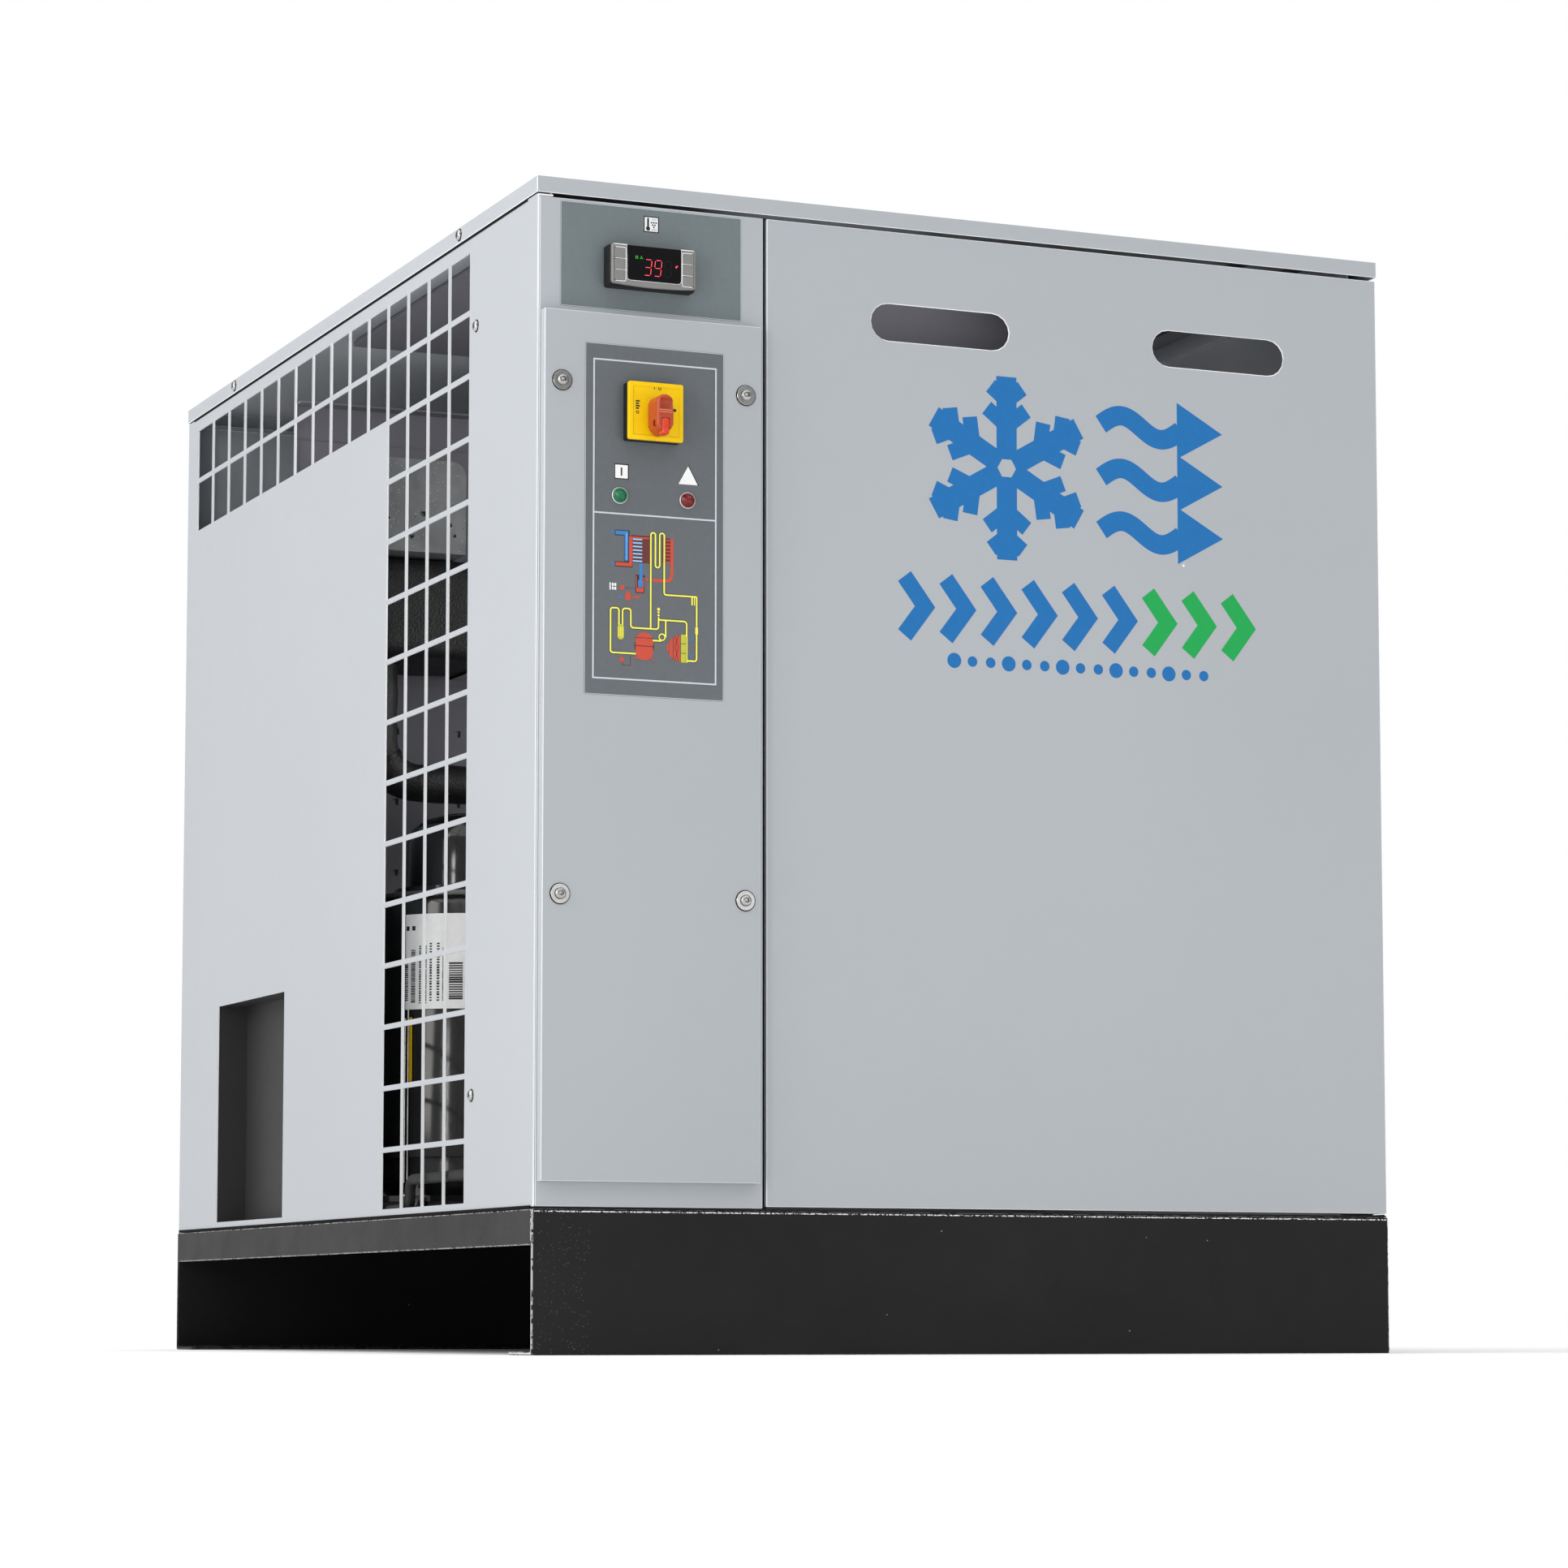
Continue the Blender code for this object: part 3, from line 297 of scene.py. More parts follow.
def black_coat(name, colour, ends=False, edge_sparkle=(0.34, 0.34, 0.35), corner=None):
    """Base paint: a fine wrinkle, pale specks and a painted sparkle highlight along the edges.

    ends paints the cut faces across the width pale grey, a painted highlight; corner is
    (axis, low, high), the stretch that gets painted glints.
    """
    paint = Paint(name, colour, 0.5, specular=0.22)
    paint.tint(paint.noise(6.0, 4.0), 0.8, 1.25)
    paint.overlay(paint.specks(120.0, 0.07, 0.04), (0.30, 0.30, 0.31))
    # A painted sparkle highlight, broken by noise, on the rounded edges.
    sparkle_mask = paint.math("MULTIPLY", paint.slope_mask(),
                      paint.math("GREATER_THAN", paint.noise(260.0, 2.0), 0.47))
    paint.overlay(sparkle_mask, edge_sparkle)
    if corner:
        # Painted glints: lighter specks over the corner stretch.
        for scale, size, share in ((900.0, 0.28, 0.07), (600.0, 0.16, 0.10)):
            glint_mask = paint.math("MULTIPLY", paint.specks(scale, size, share), paint.between(*corner))
            paint.overlay(glint_mask, (0.12, 0.12, 0.125))
    # A painted highlight: the cut end faces are pale grey.
    if ends:
        paint.overlay(paint.facing(0), (0.62, 0.62, 0.63))
    paint.vary_roughness(paint.noise(30.0), 0.42, 0.6)
    paint.bump(paint.noise(330.0, 3.0, 0.55, (1.0, 1.0, 1.8)), 0.35, 0.0006)
    return paint.material


def painted_sparkle_line():
    """Dark paint with a painted sparkle highlight: many short bright dashes."""
    paint = Paint("painted_sparkle_line", (0.010, 0.010, 0.011), 0.5, specular=0.2)
    paint.tint(paint.noise(60.0), 0.9, 1.1)
    paint.overlay(paint.math("GREATER_THAN", paint.noise(700.0, 2.0), 0.48), (0.75, 0.75, 0.76))
    paint.bump(paint.noise(600.0), 0.4, 0.0004)
    return paint.material


def moulded(name, colour, roughness, specular=0.5, grain=1500.0):
    """Moulded plastic, enamel or rubber."""
    paint = Paint(name, colour, roughness, specular=specular)
    paint.tint(paint.noise(60.0, 4.0), 0.96, 1.04)
    paint.vary_roughness(paint.noise(200.0), roughness - 0.04, roughness + 0.06)
    paint.bump(paint.noise(grain, 2.0), 0.08, 0.0002)
    return paint.material


def bare_metal(name, colour, roughness, stretch=(1.0, 1.0, 1.0)):
    """Metal with fine drawn or rolled streaks where the noise is stretched."""
    paint = Paint(name, colour, roughness, metallic=1.0)
    paint.tint(paint.noise(25.0, 5.0), 0.90, 1.08)
    paint.vary_roughness(paint.noise(300.0, 3.0, 0.6, stretch), roughness - 0.08, roughness + 0.14)
    paint.bump(paint.noise(600.0, 2.0, 0.5, stretch), 0.06, 0.0002)
    return paint.material


def galvanised(name, colour, metallic=0.6):
    paint = Paint(name, colour, 0.45, metallic=metallic)
    paint.tint(paint.noise(45.0, 5.0), 0.80, 1.12)
    paint.overlay(paint.specks(420.0, 0.22, 0.16), [min(1.0, part * 2.2) for part in colour])
    paint.overlay(paint.specks(300.0, 0.20, 0.06), [part * 0.25 for part in colour])
    paint.vary_roughness(paint.noise(60.0, 4.0), 0.32, 0.6)
    paint.bump(paint.cells(260.0), 0.10, 0.0002)
    return paint.material


def printed(name, colour, roughness=0.45):
    paint = Paint(name, colour, roughness, specular=0.4)
    paint.tint(paint.noise(220.0, 3.0), 0.97, 1.03)
    paint.vary_roughness(paint.noise(90.0), roughness - 0.05, roughness + 0.05)
    paint.bump(paint.noise(1800.0, 2.0), 0.05, 0.0001)
    return paint.material


def foam():
    paint = Paint("foam", (0.012, 0.012, 0.013), 0.55, specular=0.45)
    paint.tint(paint.noise(90.0, 5.0), 0.6, 1.5)
    paint.bump(paint.cells(520.0), 0.5, 0.0008)
    paint.bump(paint.noise(25.0, 3.0), 0.25, 0.002)
    return paint.material


def lens(name, colour, glow):
    paint = Paint(name, colour, 0.16, specular=0.35)
    paint.set("Coat Weight", 0.2)
    paint.set("Coat Roughness", 0.06)
    paint.set("Emission Color", (*colour, 1.0))
    paint.set("Emission Strength", glow)
    paint.tint(paint.cells(900.0), 0.8, 1.2)
    paint.bump(paint.noise(300.0), 0.05, 0.0002)
    return paint.material


GREY = (0.41, 0.435, 0.465)
# Painted highlight colours: for the rounded edges, and for the faces where the sheet was punched.
HIGHLIGHT_WHITE = (0.78, 0.80, 0.82)
HIGHLIGHT_GREY = (0.62, 0.65, 0.69)
CUT_HIGHLIGHT_WHITE = (0.88, 0.89, 0.90)
GREY_COAT = powder_coat("grey_coat", GREY, edge=HIGHLIGHT_WHITE, pale_specks=0.012)
COLUMN_COAT = powder_coat("column_coat", GREY, edge=HIGHLIGHT_GREY, pale_specks=0.012)
COVER_COAT = powder_coat("cover_coat", (0.39, 0.415, 0.44), edge=HIGHLIGHT_GREY, pale_specks=0.006)
PANEL_COAT = powder_coat("panel_coat", GREY, edge=HIGHLIGHT_WHITE, pale_specks=0.012, cut="slots")
SIDE_COAT = powder_coat("side_coat", GREY, pale_specks=0.012, cut="sides")
BASE_BLACK = (0.0065, 0.0065, 0.0075)
BLACK_COAT = black_coat("black_coat", BASE_BLACK, edge_sparkle=grey(0.03))
BEAM_COAT = black_coat("beam_coat", BASE_BLACK, True, corner=(0, -0.390, -0.345))
RAIL_COAT = black_coat("rail_coat", (0.021, 0.021, 0.022), corner=(1, -0.520, -0.370))
DARK_SHEET = powder_coat("dark_sheet", (0.085, 0.08, 0.09), 0.6, grain=500.0, edge=(0.2, 0.2, 0.21))
INNER_COAT = powder_coat("inner_coat", (0.15, 0.148, 0.17), 0.55, grain=500.0)
# Near-black paint for the service recess: a painted shade, as the recess lies in shadow.
RECESS_SHADE_COAT = powder_coat("recess_painted_shade", (0.026, 0.026, 0.027), 0.5, grain=500.0)
GALVANISED = galvanised("galvanised", (0.42, 0.43, 0.43))
BRACKET_METAL = galvanised("bracket_metal", (0.25, 0.255, 0.26), 0.25)
STEEL = bare_metal("zinc_steel", (0.62, 0.62, 0.61), 0.28)
SCREW_STEEL = bare_metal("screw_steel", (0.42, 0.42, 0.41), 0.22)
COPPER = bare_metal("copper", (0.72, 0.36, 0.20), 0.28)
BRASS = bare_metal("brass", (0.70, 0.52, 0.24), 0.30)
ALUMINIUM = bare_metal("aluminium", (0.60, 0.61, 0.62), 0.35, (1.0, 1.0, 0.1))
BLACK_PLASTIC = moulded("black_plastic", (0.009, 0.009, 0.010), 0.42, specular=0.28)
GREY_PLASTIC = moulded("bezel_grey", (0.21, 0.21, 0.205), 0.38)
YELLOW_PLASTIC = moulded("switch_yellow", (0.86, 0.56, 0.003), 0.38, specular=0.16)
ORANGE_PLASTIC = moulded("knob_orange", (0.42, 0.060, 0.018), 0.36, specular=0.35)
# Paler orange for the two ridges on the knob.
KNOB_PALE = moulded("knob_ridge_pale", (0.62, 0.20, 0.13), 0.45)
RED_PLASTIC = moulded("tab_red", (0.66, 0.045, 0.012), 0.32)
ENAMEL = moulded("black_enamel", (0.010, 0.010, 0.011), 0.11, specular=0.6)
# The rim is paler than the shell enamel: a painted highlight on the flange.
ENAMEL_RIM = moulded("enamel_rim", (0.05, 0.05, 0.052), 0.13, specular=0.8)
CAN_METAL = bare_metal("filter_metal", (0.30, 0.30, 0.31), 0.16)
RUBBER = moulded("rubber", grey(0.016), 0.7, specular=0.3)
PAINTED_SPARKLE_LINE = painted_sparkle_line()
# Flat black for painted shadow: the strips in the joints and the rings round the screw seats.
SHADOW_BLACK = moulded("painted_shadow_black", grey(0.005), 0.8, specular=0.1)
FOAM = foam()
GREEN_LENS = lens("green_lens", (0.0, 0.14, 0.055), 0.0)
RED_LENS = lens("red_lens", (0.16, 0.004, 0.006), 0.0)
WINDOW = moulded("smoked_window", (0.004, 0.004, 0.005), 0.07, 0.2, 200.0)
INK_WHITE = printed("ink_white", (0.86, 0.87, 0.88))
INK_BLACK = printed("ink_black", (0.012, 0.012, 0.013))
INK_LINE = printed("ink_line", (0.56, 0.60, 0.64))
INK_BLUE = printed("ink_blue", (0.035, 0.20, 0.52))
INK_SKY = printed("ink_sky", (0.25, 0.55, 0.85))
INK_RED = printed("ink_red", (0.56, 0.065, 0.035))
INK_MAROON = printed("ink_maroon", (0.13, 0.025, 0.022))
INK_YELLOW = printed("ink_yellow", (0.86, 0.82, 0.12))
INK_LIME = printed("ink_lime", (0.50, 0.50, 0.03))
PRINT_BLUE = printed("print_blue", (0.002, 0.145, 0.42), 0.6)
PRINT_GREEN = printed("print_green", (0.002, 0.36, 0.07), 0.6)
LABEL_UPPER = printed("label_upper", (0.150, 0.180, 0.190), 0.4)
LABEL_LOWER = printed("label_lower", (0.115, 0.128, 0.140), 0.4)
LABEL_RIM = printed("label_rim", (0.50, 0.53, 0.56), 0.4)
PAPER = printed("paper", (0.74, 0.75, 0.75), 0.5)
DIGIT_RED = lens("digit_red", (1.0, 0.075, 0.10), 0.75)
DIGIT_DIM = lens("digit_dim", (0.010, 0.007, 0.009), 0.0)
DIGIT_GREEN = lens("digit_green", (0.03, 0.42, 0.03), 0.3)

# Materials by the CAD nodes' material slots.
SLOT_MATERIALS = {
    "grey_paint": GREY_COAT, "black_paint": BLACK_COAT, "dark_sheet": DARK_SHEET,
    "galvanised": GALVANISED, "steel": STEEL, "aluminium": ALUMINIUM, "copper": COPPER,
    "brass": BRASS, "black_plastic": BLACK_PLASTIC, "grey_plastic": GREY_PLASTIC,
    "key_rubber": GREY_PLASTIC, "yellow_plastic": YELLOW_PLASTIC,
    "orange_plastic": ORANGE_PLASTIC, "red_plastic": RED_PLASTIC, "green_lens": GREEN_LENS,
    "red_lens": RED_LENS, "dark_window": WINDOW, "foam": FOAM, "black_enamel": ENAMEL,
}


# ------------------------------------------------------------------ mesh tools
def piece(name, mesh, material, body="cabinet", smooth=None, bevel=0.0):
    """Turn a bmesh into an object that rides on a body."""
    bmesh.ops.recalc_face_normals(mesh, faces=mesh.faces)
    data = bpy.data.meshes.new(name)
    mesh.to_mesh(data)
    mesh.free()
    data.materials.append(material)
    if smooth is not None:
        data.shade_smooth()
        data.set_sharp_from_angle(angle=math.radians(smooth))
    thing = add_object(name, data)
    if bevel:
        round_edges(thing, bevel)
    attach(thing, body)
    return thing


def turned(name, material, place, axis, profile, steps=40, smooth=30, hollow=False):
    """One turned piece of the cabinet."""
    mesh = bmesh.new()
    turn(mesh, place, axis, profile, steps, hollow)
    return piece(name, mesh, material, smooth=smooth)


def stacked(name, material, centre, outline, levels, body="cabinet", smooth=None):
    """One piece made by stacking an outline."""
    mesh = bmesh.new()
    stack(mesh, centre, outline, levels)
    return piece(name, mesh, material, body, smooth)


def set_smooth(thing, smooth):
    for polygon in thing.data.polygons:
        polygon.use_smooth = smooth


def round_edges(thing, width, angle=30):
    set_smooth(thing, True)
    bevel = thing.modifiers.new("bevel", "BEVEL")
    bevel.width = width
    bevel.segments = 2
    bevel.limit_method = "ANGLE"
    bevel.angle_limit = math.radians(angle)
    bevel.use_clamp_overlap = True
    weighted = thing.modifiers.new("weighted_normals", "WEIGHTED_NORMAL")
    weighted.weight = 90
    weighted.keep_sharp = True


def add_box(mesh, low, high):
    low = Vector(low)
    high = Vector(high)
    place = Matrix.Translation((low + high) / 2) @ Matrix.Diagonal((*(high - low), 1.0))
    bmesh.ops.create_cube(mesh, size=1.0, matrix=place)


def skin_rings(mesh, rings, closed_ends=True):
    """Quads between successive rings of points, with the two ends filled."""
    loops = [[mesh.verts.new(point) for point in ring] for ring in rings]
    for ring, after in zip(loops, loops[1:]):
        for step in range(len(ring)):
            near = (step + 1) % len(ring)
            mesh.faces.new((ring[step], ring[near], after[near], after[step]))
    if closed_ends:
        mesh.faces.new(loops[0])
        mesh.faces.new(list(reversed(loops[-1])))


def rounded_rect(width, height, radius, steps=6, inset=0.0):
    """Corner points, anticlockwise, of a rectangle with round corners, centred on 0."""
    radius = max(radius - inset, 0.05)
    points = []
    for quarter, (side, level) in enumerate(((1, 1), (-1, 1), (-1, -1), (1, -1))):
        for step in range(steps + 1):
            across, up = polar(math.pi / 2 * (quarter + step / steps), radius)
            points.append(((width / 2 - inset - radius) * side + across,
                           (height / 2 - inset - radius) * level + up))
    return points


def rounded_plate(width, height, radius, steps=5):
    """A rounded rectangle as a function of the inset."""
    return lambda inset: rounded_rect(width, height, radius, steps, inset)


def front_point(u, v, y):
    """Millimetres from the left edge and the floor, on a plane that faces -Y."""
    return Vector((LEFT + u * MM, y, v * MM))


def front_box(name):
    """A node's middle across and up, its width, height and depth, all in millimetres, and
    the planes of its front and back."""
    low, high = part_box(name)
    return (((low.x + high.x) / 2 - LEFT) / MM, (low.z + high.z) / 2 / MM,
            (high.x - low.x) / MM, (high.z - low.z) / MM, (high.y - low.y) / MM, low.y, high.y)


def stack(mesh, centre, outline, levels):
    """A solid from one outline at several (inset, distance in front of the plane) levels."""
    u, v, plane = centre
    skin_rings(mesh, [[front_point(u + x, v + z, plane - out * MM) for x, z in outline(inset)]
                      for inset, out in levels])


def turn(mesh, place, axis, profile, steps=40, hollow=False):
    """Turn a (radius, distance along axis) profile, closed up if hollow; a third value True
    makes that ring six-sided."""
    axis = Vector(axis).normalized()
    side = axis.orthogonal().normalized()
    other = axis.cross(side)
    rings = []
    for radius, along, *six_sided in profile:
        ring = []
        for step in range(steps):
            angle = 2 * math.pi * step / steps
            reach = radius
            if six_sided:
                reach = radius / math.cos((angle % (math.pi / 3)) - math.pi / 6)
            across, up = polar(angle, reach)
            ring.append(Vector(place) + axis * along + side * across + other * up)
        rings.append(ring)
    if hollow:
        skin_rings(mesh, rings + rings[:1], closed_ends=False)
        bmesh.ops.remove_doubles(mesh, verts=mesh.verts, dist=1e-6)
    else:
        skin_rings(mesh, rings)


def rounded_route(corners, bend, steps=8):
    """Points along straight runs joined by round bends."""
    points = [Vector(corners[0])]
    for before, corner, after in zip(corners, corners[1:], corners[2:]):
        corner = Vector(corner)
        inward = (corner - Vector(before)).normalized()
        outward = (Vector(after) - corner).normalized()
        turn_angle = inward.angle(outward)
        cut = bend * math.tan(turn_angle / 2)
        middle = corner + (outward - inward).normalized() * bend / math.cos(turn_angle / 2)
        first = corner - inward * cut - middle
        last = corner + outward * cut - middle
        for step in range(steps + 1):
            points.append(middle + first.slerp(last, step / steps).normalized() * bend)
    points.append(Vector(corners[-1]))
    return points


def tube(mesh, route, radius, steps=16):
    """A round tube along points, with its frame carried from one point to the next."""
    rings = []
    side = None
    for number, point in enumerate(route):
        before = route[max(0, number - 1)]
        after = route[min(len(route) - 1, number + 1)]
        along = (after - before).normalized()
        if side is None:
            side = along.orthogonal().normalized()
        side = (side - along * side.dot(along)).normalized()
        other = along.cross(side)
        rings.append([point + side * across + other * up for across, up in around(steps, radius)])
    skin_rings(mesh, rings)


class Print:
    """Flat shapes printed on a plane that faces -Y, in millimetres."""

    def __init__(self, plane):
        self.plane = plane
        self.mesh = bmesh.new()
        self.shapes = 0

    def level(self):
        """Each shape lies a hair in front of the one before, so that none share a surface."""
        self.shapes += 1
        return self.plane - (self.shapes % LAYERS) * LAYER

    def area(self, points):
        plane = self.level()
        ring = [self.mesh.verts.new(front_point(u, v, plane)) for u, v in points]
        self.mesh.faces.new(ring)
        return self

    def rect(self, left, bottom, right, top):
        return self.area([(left, bottom), (right, bottom), (right, top), (left, top)])

    def plate(self, u, v, width, height, radius, steps):
        """A filled rectangle with round corners."""
        return self.area([(u + x, v + z) for x, z in rounded_rect(width, height, radius, steps)])

    def frame(self, left, bottom, right, top, width):
        return self.line([(left, bottom), (right, bottom), (right, top), (left, top)], width,
                         closed=True)

    def disc(self, u, v, radius, steps=20):
        return self.area([(u + x, v + z) for x, z in around(steps, radius)])

    def line(self, points, width, bend=0.0, closed=False):
        """A stroke of even width; its corners are mitred, or round where bend is given."""
        points = [Vector((*point, 0.0)) for point in points]
        if bend and len(points) > 2:
            points = rounded_route(points, bend, 5)
        count = len(points)
        pairs = []
        for number, point in enumerate(points):
            before = points[number - 1] if closed or number else None
            after = points[(number + 1) % count] if closed or number + 1 < count else None
            ways = []
            if before is not None and (point - before).length > 1e-6:
                ways.append((point - before).normalized())
            if after is not None and (after - point).length > 1e-6:
                ways.append((after - point).normalized())
            middle = sum(ways, Vector()).normalized()
            across = Vector((-middle.y, middle.x, 0.0))
            reach = width / 2 / max(0.35, middle.dot(ways[0]))
            pairs.append([point + across * reach, point - across * reach])
        plane = self.level()
        corners = [[self.mesh.verts.new(front_point(p.x, p.y, plane)) for p in pair]
                   for pair in pairs]
        ends = corners[1:] + (corners[:1] if closed else [])
        for near, far in zip(corners, ends):
            self.mesh.faces.new((near[0], near[1], far[1], far[0]))
        return self

    def ring(self, u, v, radius, width):
        return self.line([(u + x, v + z) for x, z in around(28, radius)], width, closed=True)

    def build(self, name, material, lift, body="cabinet"):
        """Thicken the shapes towards the viewer."""
        made = bmesh.ops.extrude_face_region(self.mesh, geom=self.mesh.faces[:],
                                             use_keep_orig=True)
        moved = [part for part in made["geom"] if isinstance(part, bmesh.types.BMVert)]
        bmesh.ops.translate(self.mesh, verts=moved, vec=(0.0, -lift * MM, 0.0))
        return piece(name, self.mesh, material, body)


# ------------------------------------------------------------------ carried-over CAD nodes
def dress_cad():
    """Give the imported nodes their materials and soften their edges."""
    edge = {"lid": 0.0012, "front_panel": 0.0009, "control_cover": 0.0010,
            "control_column": 0.0008, "rear_panel": 0.0008, "base_front_beam": 0.0014,
            "base_rear_beam": 0.0014, "base_left_rail": 0.0012, "base_right_rail": 0.0012,
            "service_recess": 0.0006, "terminal_box": 0.003, "exchanger_bracket": 0.0004,
            "drain_lever": 0.0006}
    edge.update({"key_%d" % number: 0.0007 for number in range(1, 7)})
    special = {"front_panel": PANEL_COAT, "control_column": COLUMN_COAT,
               "control_cover": COVER_COAT, "left_side_panel": SIDE_COAT,
               "right_side_panel": SIDE_COAT, "base_front_beam": BEAM_COAT,
               "base_rear_beam": BLACK_COAT, "base_left_rail": RAIL_COAT,
               "base_right_rail": RAIL_COAT, "bulkhead": INNER_COAT,
               "service_recess": RECESS_SHADE_COAT}
    round_nodes = ("pipe", "valve", "receiver", "separator", "filter", "motor", "compressor",
                   "gland", "blades", "shroud")
    for row in frame["record"]["subparts"]:
        name = row["node"]
        thing = nodes[name]
        thing.data.materials.clear()
        thing.data.materials.append(special.get(name, SLOT_MATERIALS[row["material_slot"]]))
        thing.modifiers.new("weld", "WELD").merge_threshold = WELD_DISTANCE
        if name in edge:
            round_edges(thing, edge[name])
            continue
        rounded = any(word in name for word in round_nodes)
        set_smooth(thing, rounded)
        if rounded:
            split = thing.modifiers.new("split_sharp_edges", "EDGE_SPLIT")
            split.split_angle = math.radians(34)


# ------------------------------------------------------------------ labels
INK = 0.12                   # how far a print stands off what it is printed on
UPPER_LABEL = (20.5, 855.2, 181.3, 943.0)       # left, bottom, right, top
LOWER_LABEL = (39.0, 534.0, 161.7, 824.5)
LOWER_FRAME = (46.8, 547.8, 154.4, 811.0)
DIVIDER = 684.0


def label_sheet(name, face, bounds, material):
    """A thin sheet with rounded corners and a paler printed rim."""
    left, bottom, right, top = bounds
    u, v = (left + right) / 2, (bottom + top) / 2
    stacked(name, material, (u, v, face), rounded_plate(right - left, top - bottom, 1.6),
            [(0.0, 0.0), (0.0, 0.15), (0.1, LABEL_THICK / MM)])
    rim = Print(face - LABEL_THICK)
    outline = rounded_rect(right - left - 1.0, top - bottom - 1.0, 1.2, 4)
    rim.line([(u + x, v + z) for x, z in outline], 0.5, closed=True)
    rim.build(name + "_rim", LABEL_RIM, 0.04)


def framed_square(print_white, print_black, u, v, size, border):
    """A white square with a black border: the common ground of the picture signs."""
    print_white.plate(u, v, size, size, 0.5, 2)
    inner = size / 2 - border / 2
    print_black.frame(u - inner, v - inner, u + inner, v + inner, border)


def make_upper_label():
    label_sheet("upper_label", COLUMN_FACE, UPPER_LABEL, LABEL_UPPER)
    plane = COLUMN_FACE - LABEL_THICK
    white = Print(plane)
    black = Print(plane - INK * MM)
    u, v, size = 100.5, 930.0, 13.4
    framed_square(white, black, u, v, size, 0.8)
    black.line([(u - 2.9, v + 4.8), (u - 2.9, v - 2.6)], 1.6)
    black.disc(u - 2.9, v + 4.6, 0.8)
    black.disc(u - 2.9, v - 3.6, 1.8)
    for row, count in ((1.6, 3), (-0.4, 2), (-2.2, 1)):
        for column in range(count):
            black.disc(u + 2.2 + (column - (count - 1) / 2) * 2.0, v + row, 0.72, 10)
    white.build("thermometer_sign", INK_WHITE, INK)
    black.build("thermometer_sign_marks", INK_BLACK, INK)
    pale = Print(plane - INK * MM)
    pale.rect(u + 0.2, v - 5.0, u + 5.0, v - 3.6)
    pale.rect(u + 0.2, v + 3.4, u + 5.0, v + 4.9)
    pale.build("thermometer_sign_bands", INK_LINE, INK)


def make_lower_label():
    label_sheet("lower_label", COVER_FACE, LOWER_LABEL, LABEL_LOWER)
    plane = COVER_FACE - LABEL_THICK
    lines = Print(plane)
    lines.frame(*LOWER_FRAME, 1.3)
    lines.line([(LOWER_FRAME[0], DIVIDER), (LOWER_FRAME[2], DIVIDER)], 1.3)
    lines.build("label_frame_lines", INK_LINE, INK)

    white = Print(plane)
    black = Print(plane - INK * MM)
    framed_square(white, black, 71.0, 719.0, 12.7, 0.8)
    black.line([(71.0, 715.6), (71.0, 722.4)], 1.3)
    corners = [(119.7, 711.5), (139.7, 711.5), (129.7, 729.5)]
    white.area(corners)
    middle = (sum(c[0] for c in corners) / 3, sum(c[1] for c in corners) / 3)
    inner = [(middle[0] + (x - middle[0]) * 0.93, middle[1] + (z - middle[1]) * 0.93)
             for x, z in corners]
    black.line(inner, 0.7, closed=True)
    white.build("lamp_signs", INK_WHITE, INK)
    black.build("lamp_sign_marks", INK_BLACK, INK)


